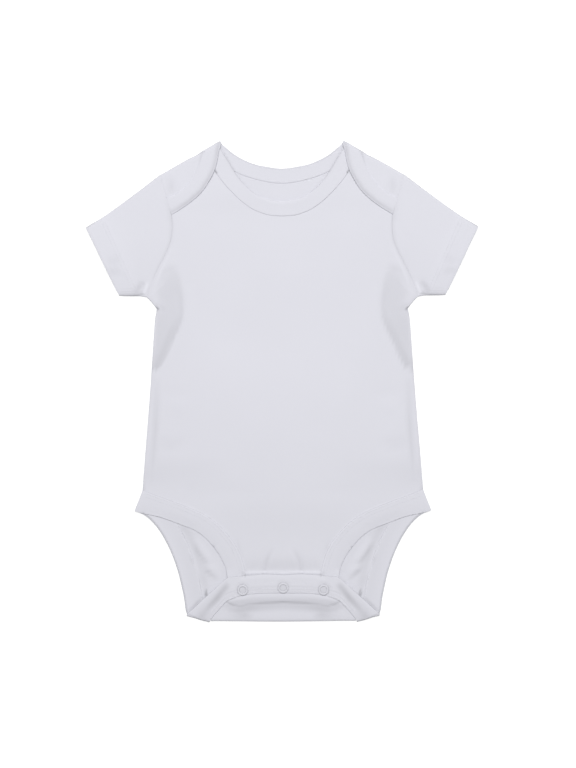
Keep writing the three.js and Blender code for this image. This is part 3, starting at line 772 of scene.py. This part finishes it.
# %% Shade and finish the back
SHOULDER_ENDS = table("at reach move", ((106.6, 181.0), 3, (0.5, 0.0)))
shade(back_cloth, flap_shades, above=UPPER_LAYER, low_rows=back_shades)
spread_rims(back_cloth, reach=0.25, above=UPPER_LAYER, high_reach=0.3)
nudge(back_cloth, SHOULDER_ENDS)
soften(back_cloth, PANEL_ROLL, segments=2)
dress(back_cloth, "back_panel", body_knit)

# %% [markdown]
# ## The front
# The front is smooth over the belly, falls away into a crescent before each underarm, and is pinched
# at the lower end of each armhole. A groove runs beside each side seam where the cloth turns
# under, and it puckers where the snap band gathers it.

# %% Fold the front
front_folds = [
    row((110.5, 70), (108.5, 65.5), (105, 61), 1.8, -0.4),
    row((107, 72), (104.5, 67), (101.5, 63.5), 2, 0.2),
    row((86, 84), (83.5, 60), (96, 27), 4.5, 0.45),
    row((93.5, 84), (91, 60), (103, 26), 4, -0.9),
    row((104, 62), (103, 50), (107, 32), 3.5, 0.25),
    row((96.5, 118), (103, 105), (111.5, 86), 1.6, 0.3),
    row((110.5, 2), (112, -42), (115.5, -86), 2.8, -0.5),
    row((108, -9), (93, -11), (76, -9.5), 4.5, -0.35),
    row((104, -20), (94, -22), (80, -19), 5, 0.22),
    row((100, -27), (93, -33), (88, -42), 4.5, -0.2),
    row((109, -53), (97, -56), (82, -53), 5, -0.35),
    row((116, -75), (88, -79), (40, -77), 6, -0.4),
    row((70, -94), (42, -97), (12, -95), 7, -0.25),
    row((16.8, -169.5), (13.9, -156), (7.5, -143), 2.2, -0.5, "end"),
    row((11.5, -169), (9, -156), (3, -142), 2.8, 0.45, "end"),
    row((21.5, -169.5), (20, -163), (16.5, -156), 2.4, 0.35, "end"),
    row((40.5, -139), (39, -147), (36, -155), 2, -0.3),
    row((28, -168), (27.5, -162), (25, -155), 2, -0.2, "end"),
    row((-1, -168.8), (16, -168.4), (33, -168.8), 1.2, 0.9, "none"),
    long_row(ARMHOLE[3:], 2.5, 0.35),
]
front_cloth = cloth_from("front_panel", "front_cloth")
slack(front_cloth, amount=1.0)
crease(front_cloth, front_folds)

# %% Shade rows of the front
crescent_edge = [
    (104.5, 101.5), (97.5, 100.3), (91.8, 96.5), (89.3, 89), (87.8, 78), (87.2, 66), (87.8, 56.8),
    (91.2, 46.5), (95.8, 37.4), (100.3, 27), (105.1, 17.9), (108.9, 11.5), (114, 10.9),
]
crescent_wide = [0.1, 0.17, 0.2, 0.23, 0.25, 0.27, 0.3, 0.32, 0.32, 0.32, 0.34, 0.36, 0.4]
crescent_narrow = [0, 0, 0.03, 0.05, 0.1, 0.17, 0.32, 0.48, 0.5, 0.5, 0.52, 0.6, 0.6]
underarm_ridge = [(102.0, 111), (107.6, 99.2), (112.5, 88), (113.3, 79), (110.2, 68.5)]
front_shades = shade_rows(
    (crescent_edge, 42, crescent_wide, "left", 1.8),
    (crescent_edge, 13, crescent_narrow, "left", 1),
    ([(0, 16), (44, 16)], 34, [-0.4, -0.4]),
    ([(40, -84), (80, -84), (121, -81)], 12, [0, 0.1, 0.2]),
    ([(110, -52), (98, -55), (84, -53)], 4, [0.1, 0.12, 0]),
    ([(0, -124), (42, -122)], 16, [0.07, 0.05]),
    ([(112, 58), (112.6, 40), (113.6, 14)], 1.3, [-0.5, -0.6, -0.3]),
    ([(112.2, 69), (110.4, 66.2), (108.8, 63.4)], 1.1, [0.4, 1.6, 2]),
    ([(110.8, 0), (112.4, -42), (115.8, -88)], 2.6, [0.1, 0.3, 0.2]),
    ([(17, -170.5), (14.1, -157), (8, -145)], 2, [0.4, 0.3, 0]),
    ([(40.5, -139.5), (39, -147), (36, -154.4)], 1.8, [0, 0.15, 0.1]),
    ([(0, -161.5), (16, -161.5), (30, -162.5)], 6, [0.2, 0.2, 0.12]),
    ([(0, -167.9), (16, -167.5), (33, -168.2)], 0.8, [-1.8, -1.3, -1]),
    ([(0, -169.8), (16, -169.2), (33, -170)], 0.7, [-0.6, -1, -1]),
    (ARMHOLE[2:], 1.3, [0.3, 0.3, 0.3, 0.3, 0.3, 0.25, 0.15, 0.1]),
    (underarm_ridge, 3.2, [-0.1, -0.3, -0.3, -0.4, -0.4]),
    ([(97.5, 117), (102.8, 105.5), (108, 95), (112, 85.5)], 1.2, [-0.2, -0.7, -0.8, -0.5]),
    ([(90, 100), (98, 99.5), (106, 97)], 3.8, [0, 0.22, 0.15]),
)
front_shades += [leg_seam_light, lap_shade, lap_light, slit_shade, edge_shades[-1], *bar_tack_shade_and_light]
print("rows on the front:", len(front_shades))

# %% Shade and finish the front
shade(front_cloth, front_shades)
spread_rims(front_cloth, reach=0.28)
soften(front_cloth, PANEL_ROLL, segments=2)
dress(front_cloth, "front_panel", body_knit)

# %% [markdown]
# ## The sleeves
# Each sleeve is a flattened tube with its hem turned up. The upper layer has a pinch at the underarm
# and two faint pulls from there to the hem. Only points above the lower layer move, so
# the sleeve still lies flat.

# %% Fold and shade rows of a sleeve
sleeve_folds = [
    row((117.8, 88), (119.3, 83.5), (121.2, 79), 1.6, 0.5),
    row((122.5, 88), (124, 84), (125, 80), 2.6, -0.55),
    row((149.5, 106), (146.5, 99), (142, 92), 2.2, -0.25),
    row((145, 108), (141.5, 100.5), (137, 94), 2.4, 0.2),
    row((104, 150), (116, 130), (129, 112), 5, 0.15),
    row((97.8, 142), (100.2, 154), (103.5, 166), 3, 0.8),
    row((123, 78.9), (132, 78.3), (142, 78.3), 0.6, 0.12),
    row((123, 80.6), (132, 80), (142, 79.9), 0.6, 0.12),
]
sleeve_shades = shade_rows(
    ([(143, 76), (130, 76.4), (121.5, 78)], 0.9, [0.6, 0.8, 0.8]),
    ([(141.5, 77.4), (130, 77.5), (122, 78.9)], 1.5, [0.2, 0.4, 0.4]),
    ([(142.2, 79.7), (132, 79.7), (122.5, 80.6)], 0.6, [0.25, 0.35, 0.35]),
    ([(143, 82), (132, 82), (124, 82.6)], 0.7, [0.1, 0.18, 0.15]),
    ([(128.5, 79.5), (126, 83.6), (122.8, 88)], 3, [0.45, 0.4, 0.1]),
    ([(149.5, 97.5), (145, 96.4), (141, 97.5)], 3.4, [0.2, 0.15, 0]),
    ([(150.5, 107), (146, 108), (141, 106)], 3.4, [0.1, 0.12, 0]),
    ([(118.7, 86.5), (119.6, 83.2), (121.3, 79.2)], 1.3, [-0.9, -2, -1.8]),
    (ARMHOLE, 1.2, [0, 0, 0.1, 0.2, 0.2, 0.2, 0.2, 0.2, 0.1, 0]),
)
sleeve_shades += edge_shades
print("folds on a sleeve:", len(sleeve_folds), "rows of shade:", len(sleeve_shades))

# %% Make the sleeves
SLEEVE_TOP = 1.6
SLEEVE_ROLL = 0.4
sleeve_cloths = {}
for side in ("right", "left"):
    sleeve_cloth = cloth_from(f"sleeve_{side}", f"sleeve_cloth_{side}")
    slack(sleeve_cloth, amount=0.6, above=SLEEVE_TOP)
    crease(sleeve_cloth, sleeve_folds, above=SLEEVE_TOP)
    shade(sleeve_cloth, sleeve_shades, above=SLEEVE_TOP)
    spread_rims(sleeve_cloth, reach=0.3)
    soften(sleeve_cloth, SLEEVE_ROLL, segments=3)
    dress(sleeve_cloth, f"sleeve_{side}", sleeve_knits[side])
    sleeve_cloths[side] = sleeve_cloth

# %% [markdown]
# ## The bindings
# A binding is a strip of knit folded round the edge, so it is thicker than the panel and has a round
# free edge. The strip round the legs carries on over the bottom fold and along the flap, where it
# is the snap band.

# %% Fold and shade rows of the snap band
leg_band_folds = [
    row((50, -180), (58.5, -191), (70, -203), 2.4, -0.45),
    row((56.5, -177), (67, -188.5), (77, -201), 2.4, 0.35),
    row((43, -187.5), (56, -197.5), (68, -208), 1.4, 0.25, "none"),
    row((0, -180.2), (18, -180.3), (42, -183.5), 0.8, 0.12, "none"),
    row((0, -183.2), (18, -183.3), (40, -186), 0.8, 0.12, "none"),
]
band_edge_folds = [row((-1, -169.6), (18, -169.2), (36, -171.2), 2.0, -0.45, "none")]
leg_band_shades = shade_rows(
    ([(50.1, -180), (58, -190.5), (69.4, -202.8)], 3, [0.5, 0.8, 0.45]),
    ([(60, -193.5), (66, -200), (71.5, -206)], 4.5, [0, 0.35, 0.5]),
    ([(52.5, -176.8), (66.5, -190.4), (80.5, -204)], 1.8, [-0.1, -0.3, -0.1]),
    ([(83.5, -205.2), (74, -209), (64.4, -212.2)], 1.8, [0.4, 0.6, 0.5], "right", 0.5),
    ([(0, -169.8), (16, -169.2), (33, -170)], 0.7, [-0.6, -1, -1]),
)
leg_band_shades += [diagonal_light, *bar_tack_shade_and_light]
# Painted highlight and shade in lines along the band's seam, for the ridges of its stitching.
for away, depth in ((1.5, -0.6), (2.9, 0.35), (4.3, -0.6), (5.8, 0.3)):
    leg_band_shades.append(shade_row(offset_line(SNAP_BAND_SEAM, away), 0.65, [depth, depth]))
# Painted shade in a ring round each snap and a faint halo beyond it.
for place in (SNAPS["center"], SNAPS["right"]):
    leg_band_shades.append(shade_row(circle(place, 4.9), 0.55, [0.8, 0.8]))
    leg_band_shades.append(shade_row(circle(place, 6.3), 1.2, [0.15, 0.15]))
print("rows on the snap band:", len(leg_band_shades))

# %% Fold rows of the other strips
STRIP_TOP = 2.4
LEG_STRIP_TOP = 1.8
lap_end_folds = [row((95, 142), (99.5, 154), (103.5, 166), 3.5, -0.1), long_row(LAP_EDGE, 2.6, -0.6)]
leg_edge_folds = [
    long_row(LEG_EDGE, 5, -0.7),
    row((72, -131), (90, -124.5), (108, -117), 5, -0.5),
]
LAP_END = table(
    "at reach move",
    ((97.5, 149.0), 4, (0.7, -0.2)),
    ((100.8, 158.5), 4.5, (0.8, -0.2)),
)
print("folds on a lap's end:", len(lap_end_folds))

# %% [markdown]
# ### A table of the four strips
# Each row names the solid, the creases of the whole strip, those that only thin its free edge, the
# shade of its layers and how far each spreads to close its seams. A few have a finer mesh, creases that
# begin lower, corners to pull out, or a knit of their own.

# %% List the strips
STRIPS = [
    {
        "node": "neck_binding_back",
        "folds": lap_end_folds,
        "thin": [long_row(LAP_EDGE, 2.4, -0.75)],
        "low": [neckline_shade, *edge_shades],
        "high": [lap_shade, lap_seam_light, *edge_shades],
        "closing": (0.12, 0.3),
        "corners": LAP_END,
        "knit": lap_knit,
    },
    {
        "node": "neck_binding_front",
        "low": [neckline_shade, neck_edge_light],
        "high": [neckline_shade, neck_edge_light, lap_shade, lap_light, slit_shade],
        "closing": (0.14, 0.14),
    },
    {
        "node": "leg_binding_back",
        "level": 3,
        "folds": leg_band_folds,
        "thin": band_edge_folds,
        "low": back_shades,
        "high": leg_band_shades,
        "closing": (0.2, 0.1),
    },
    {
        "node": "leg_binding_front",
        "folds": leg_edge_folds,
        "thin": [long_row(LEG_EDGE[3:], 2.6, -0.4)],
        "above": LEG_STRIP_TOP,
        "low": [],
        "high": [*leg_edge_shades, leg_seam_light, edge_shades[-1], *bar_tack_shade_and_light],
        "closing": (0.3, 0.3),
    },
]
print("strips:", len(STRIPS))

# %% Make the bindings
STRIP_ROLL = 0.62
bindings = {}
for strip_row in STRIPS:
    node = strip_row["node"]
    low_reach, high_reach = strip_row["closing"]
    crease_from = strip_row.get("above", STRIP_TOP)
    strip = cloth_from(node, f"{node}_strip", strip_row.get("level", 2))
    crease(strip, strip_row.get("folds", []), above=crease_from)
    crease(strip, strip_row.get("thin", []), above=crease_from, tops_only=True)
    shade(strip, strip_row["high"], above=STRIP_TOP, low_rows=strip_row["low"])
    spread_rims(strip, low_reach, above=STRIP_TOP, high_reach=high_reach)
    nudge(strip, strip_row.get("corners", []))
    soften(strip, STRIP_ROLL, segments=3)
    dress(strip, node, strip_row.get("knit", binding_knit))
    bindings[node] = strip

# %% [markdown]
# ## The ring snaps
# A ring snap shows a ring of painted metal with the cloth pressed up inside it as a low dome. Both
# parts are turned forms, so each is a few points of its half profile, spun round once.

# %% Spin the snaps
SPIN_STEPS = 40
SNAP_BASE = 5.0
ring_profile = [
    (4.7, 0), (4.75, 0.4), (4.6, 0.7), (4.2, 0.85), (3.4, 0.86), (3, 0.72), (2.8, 0.4), (2.75, 0),
]
dome_profile = [(2.78, 0.0), (2.77, 0.5), (2.5, 0.6), (1.6, 0.64), (0.8, 0.67), (0.0, 0.68)]


def spun(name, profile, place):
    mesh = bpy.data.meshes.new(name)
    loop = [(x * MM, 0, z * MM) for x, z in profile]
    mesh.from_pydata(loop, [(i, i + 1) for i in range(len(loop) - 1)], [])
    piece = placed(name, mesh)
    select_only(piece)
    bpy.ops.object.mode_set(mode="EDIT")
    bpy.ops.mesh.select_all(action="SELECT")
    bpy.ops.mesh.spin(steps=SPIN_STEPS, angle=2 * math.pi, center=(0, 0, 0), axis=(0, 0, 1))
    bpy.ops.mesh.select_all(action="SELECT")
    bpy.ops.mesh.remove_doubles(threshold=MERGE)
    bpy.ops.mesh.select_all(action="DESELECT")
    bpy.ops.mesh.select_non_manifold()
    bpy.ops.mesh.edge_face_add()
    bpy.ops.mesh.select_all(action="SELECT")
    bpy.ops.mesh.normals_make_consistent(inside=False)
    bpy.ops.transform.translate(value=(place[0] * MM, place[1] * MM, SNAP_BASE * MM))
    bpy.ops.object.mode_set(mode="OBJECT")
    bpy.ops.object.shade_smooth_by_angle(angle=SMOOTH_ANGLE)
    return piece


print("points of the ring's half profile:", len(ring_profile))

# %% Paint for the rings
SNAP_WHITE = (0.54, 0.54, 0.585, 1)
PAINT_GLOSS = 0.42


def painted_metal():
    material, tree, shader = new_material("White snap paint")
    place = new_node(tree, "TexCoord").outputs["Object"]
    tints = {"Vector": place, "Colour": SNAP_WHITE, "Drift": 0.02, "Flecks": 0.04}
    tone = new_node(tree, "Group", tints, node_tree=cotton_tone).outputs
    rough = math_node(tree, "MULTIPLY", tone["Roughness"], PAINT_GLOSS)
    finish = {"Base Color": tone["Color"], "Roughness": rough, "Specular IOR Level": 0.25}
    fill(tree, shader, finish)
    return material


snap_paint = painted_metal()
print("paint:", snap_paint.name)

# %% Place the three snaps
snap_parts = []
for side, place in SNAPS.items():
    ring = spun(f"snap_ring_{side}", ring_profile + ring_profile[:1], place)
    dome = spun(f"snap_dome_{side}", dome_profile, place)
    ring.data.materials.append(snap_paint)
    dome.data.materials.append(binding_knit)
    # The dome is painted a little greyer all over, as painted shade inside the ring.
    shade(dome, [shade_row(circle((abs(place[0]), place[1]), radius=1.0), width=9.0, depth=[0.3, 0.3])])
    for piece, slot in ((ring, "snap"), (dome, "binding_knit")):
        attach(piece, "root")
    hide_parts(f"snap_{side}")
    snap_parts += [ring, dome]
print("snaps:", len(snap_parts) // 2)

# %% [markdown]
# ## Stitches
# Two rows of white stitches hold each sleeve hem, the front leg strip and the snap band. A stitch is a
# short thread that dips into the cloth at both ends. One stitch is modelled, an array repeats it as
# often as the row is long, and a curve laid on the cloth bends the array along the seam.

# %% Model one stitch
STITCH = {"length": 2.1, "step": 2.6, "width": 0.40, "height": 0.18, "sides": 6, "rings": 5}


def one_stitch(name):
    bpy.ops.object.select_all(action="DESELECT")
    bpy.ops.mesh.primitive_uv_sphere_add(segments=STITCH["sides"], ring_count=STITCH["rings"], radius=0.5)
    stitch = bpy.context.object
    stitch.name = name
    size = (STITCH["length"] * MM, STITCH["width"] * MM, STITCH["height"] * 2 * MM)
    bpy.ops.object.mode_set(mode="EDIT")
    bpy.ops.mesh.select_all(action="SELECT")
    bpy.ops.transform.rotate(value=math.pi / 2, orient_axis="Y", center_override=(0, 0, 0))
    bpy.ops.transform.resize(value=size, center_override=(0, 0, 0))
    bpy.ops.object.mode_set(mode="OBJECT")
    return stitch


print("stitch mm:", STITCH["length"], "x", STITCH["width"])

# %% Lay rows of stitches on the cloth
RAY_FROM = 50.0


def height_on(cloth, x, y):
    """Top of the cloth at a place given in millimetres, or None beside it."""
    found, spot, _, _ = cloth.ray_cast((x * MM, y * MM, RAY_FROM * MM), (0, 0, -1))
    return spot.z if found else None


def stitch_row(name, line, cloth):
    spots = [(x, y, height_on(cloth, x, y)) for x, y in line]
    spots = [(x * MM, y * MM, z) for x, y, z in spots if z is not None]
    curve = bpy.data.curves.new(name + "_line", "CURVE")
    curve.dimensions = "3D"
    curve.twist_mode = "Z_UP"
    spline = curve.splines.new("POLY")
    spline.points.add(len(spots) - 1)
    for point, spot in zip(spline.points, spots):
        point.co = (*spot, 1)
    guide = placed(name + "_line", curve)
    stitch = one_stitch(name)
    run = sum(math.dist(a, b) for a, b in zip(spots, spots[1:]))
    count = max(2, int(run / (STITCH["step"] * MM)))
    apply_modifier(
        stitch,
        "ARRAY",
        count=count,
        use_relative_offset=False,
        use_constant_offset=True,
        constant_offset_displace=(run / count, 0, 0),
    )
    apply_modifier(stitch, "CURVE", object=guide, deform_axis="POS_X")
    bpy.data.objects.remove(guide)
    return stitch


print("a stitch every", STITCH["step"], "mm")

# %% Join rows into one piece
THREAD_ANGLE = math.radians(60)
ROW_STEP = 1.5


def join_rows(name, rows, material):
    bpy.ops.object.select_all(action="DESELECT")
    for piece in rows:
        piece.select_set(True)
    bpy.context.view_layer.objects.active = rows[0]
    bpy.ops.object.join()
    joined = bpy.context.object
    joined.name = name
    joined.data.name = name
    joined.data.materials.clear()
    joined.data.materials.append(material)
    bpy.ops.object.mode_set(mode="EDIT")
    bpy.ops.mesh.select_all(action="SELECT")
    bpy.ops.mesh.normals_make_consistent(inside=False)
    bpy.ops.object.mode_set(mode="OBJECT")
    bpy.ops.object.shade_smooth_by_angle(angle=THREAD_ANGLE)
    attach(joined, "root")
    print(name, "triangles:", sum(len(p.vertices) - 2 for p in joined.data.polygons))
    return joined


def spaced(line):
    """The line again, in short steps of equal length."""
    line = np.array(line, float)
    runs = np.r_[0, np.cumsum(np.linalg.norm(np.diff(line, axis=0), axis=1))]
    at = np.linspace(0, runs[-1], max(2, int(runs[-1] / ROW_STEP)) + 1)
    return np.stack([np.interp(at, runs, line[:, 0]), np.interp(at, runs, line[:, 1])], axis=1)


thread = knit_material("White thread", BINDING_WHITE, column=0.3, loop=0.25, relief=0.04)
print("thread:", thread.name, "laid in steps of", ROW_STEP, "mm")

# %% [markdown]
# ### Where the rows run
# The hem rows run just inside the hem's inner edge, from one edge of the sleeve to the other. The leg
# rows run along the front strip and along the snap band, a little way in from their seams.

# %% Sew the hems, the leg strips and the snap band
TWIN_GAP = 2.8
HEM_INSET = -0.6
LEG_INSET = -1.9
BAND_INSET = 1.5
HEM_LINE = [(127.5, 79.5), (141.2, 110), (155.8, 142.6)]


def twin_rows(name, line, inset, turn, cloth):
    """Two rows beside a line of the right half, to its left for a positive inset."""
    rows = []
    for number in range(2):
        away = math.copysign(abs(inset) + number * TWIN_GAP, inset)
        moved = [(turn * x, y) for x, y in offset_line(spaced(line), away)]
        rows.append(stitch_row(f"{name}_{number}", moved, cloth))
    return rows


hem_rows, leg_rows, band_rows = [], [], []
front_strip, back_strip = bindings["leg_binding_front"], bindings["leg_binding_back"]
for side, turn in (("right", 1), ("left", -1)):
    hem_rows += twin_rows(f"hem_{side}", HEM_LINE, HEM_INSET, turn, sleeve_cloths[side])
    leg_rows += twin_rows(f"leg_{side}", FRONT_LEG_SEAM, LEG_INSET, turn, front_strip)
    band_rows += twin_rows(f"band_{side}", SNAP_BAND_SEAM, BAND_INSET, turn, back_strip)
hem_stitches = join_rows("hem_stitches", hem_rows, thread)
leg_stitches = join_rows("leg_stitches", leg_rows, thread)
band_stitches = join_rows("band_stitches", band_rows, thread)

# %% [markdown]
# ## Cut sizes
# Every piece is a flat cut of knit. Its width and length are those of the smallest rectangle it is cut
# from, and its area is that of the cut. For a binding they are those of the strip that shows, and
# for a sleeve those of the whole tube, opened along its seam.

CUTS = table(
    "piece flat area held",
    (back_cloth, (0.247, 0.500), 0.0875, "folded"),
    (front_cloth, (0.247, 0.372), 0.0694, "laid"),
    (sleeve_cloths["right"], (0.224, 0.080), 0.0097, "folded"),
    (sleeve_cloths["left"], (0.224, 0.080), 0.0097, "folded"),
    (bindings["neck_binding_back"], (0.014, 0.290), 0.0039, "folded"),
    (bindings["neck_binding_front"], (0.0135, 0.175), 0.0023, "laid"),
    (bindings["leg_binding_back"], (0.0165, 0.430), 0.0070, "folded"),
    (bindings["leg_binding_front"], (0.0160, 0.345), 0.0054, "laid"),
)
for cut in CUTS:
    piece = cut["piece"]
    made = sum(p.area for p in piece.data.polygons) / 2
    print(piece.name, "cloth m2:", round(made, 4), "cut m2:", cut["area"])

# %% [markdown]
# ## Table and light
# The bodysuit lies on a seamless white table, which gives light of its own, as a light table does,
# and so stays white. One wide soft light hangs over it, a little towards the neck, and the white
# room fills the rest, so the creases show as soft shade with no hard shadow.

# %% Lay the table
TABLE_SIZE = 10.0
TABLE_DROP = 0.2 * MM
TABLE_GREY = (0.35, 0.35, 0.35, 1)
TABLE_GLOW = 0.72
WHITE = (1, 1, 1, 1)
bpy.ops.object.select_all(action="DESELECT")
bpy.ops.mesh.primitive_plane_add(size=TABLE_SIZE, location=(0, 0, -TABLE_DROP))
floor = bpy.context.object
floor.name = "floor"
table_white, table_tree, table_shader = new_material("Table white")
table_finish = {
    "Base Color": TABLE_GREY,
    "Emission Color": WHITE,
    "Emission Strength": TABLE_GLOW,
    "Roughness": 0.8,
    "Specular IOR Level": 0.1,
}
fill(table_tree, table_shader, table_finish)
floor.data.materials.append(table_white)
print("table:", TABLE_SIZE, "m wide")

# %% Light the room
ROOM_LIGHT = 0.275
LIGHT_AT = (0.0, 0.75, 2.4)
LIGHT_SIZE = (1.6, 1.7)
LIGHT_POWER = 71.5
world = bpy.data.worlds.new("White room")
bpy.context.scene.world = world
world.use_nodes = True
fill(world.node_tree, world.node_tree.nodes["Background"], {"Color": WHITE, "Strength": ROOM_LIGHT})
bpy.ops.object.light_add(type="AREA", location=LIGHT_AT)
softbox = bpy.context.object
softbox.name = "softbox"
softbox.data.shape = "RECTANGLE"
softbox.data.size, softbox.data.size_y = LIGHT_SIZE
softbox.data.energy = LIGHT_POWER
softbox.rotation_euler = (-math.atan2(LIGHT_AT[1], LIGHT_AT[2]), 0, 0)
bpy.context.scene.view_settings.view_transform = "Standard"
print("light power:", softbox.data.energy)

# %% [markdown]
# ## Camera
# The camera looks straight down. At the distance chosen one pixel of a picture 768 high is 0.88 mm on
# the cloth. It is turned by a sixth of a degree and stands a little off the middle.

# %% Place the camera
PIXEL = 0.88 * MM
PICTURE_HEIGHT = 768
LENS = 100.0
SENSOR = 36.0
CLOTH_LEVEL = 4 * MM
ROLL = -math.radians(0.16)
OFF_MIDDLE = (4.8 * MM, -2.0 * MM)
camera_data = bpy.data.cameras.new("camera")
camera_data.lens = LENS
camera_data.sensor_width = SENSOR
camera = placed("camera", camera_data)
rise = LENS / SENSOR * PICTURE_HEIGHT * PIXEL + CLOTH_LEVEL
camera.location = (
    OFF_MIDDLE[0] * math.cos(ROLL) - OFF_MIDDLE[1] * math.sin(ROLL),
    OFF_MIDDLE[0] * math.sin(ROLL) + OFF_MIDDLE[1] * math.cos(ROLL),
    rise,
)
camera.rotation_euler = (0, 0, ROLL)
bpy.context.scene.camera = camera
print("camera height m:", round(rise, 3))

# %% Finish
bpy.context.view_layer.update()
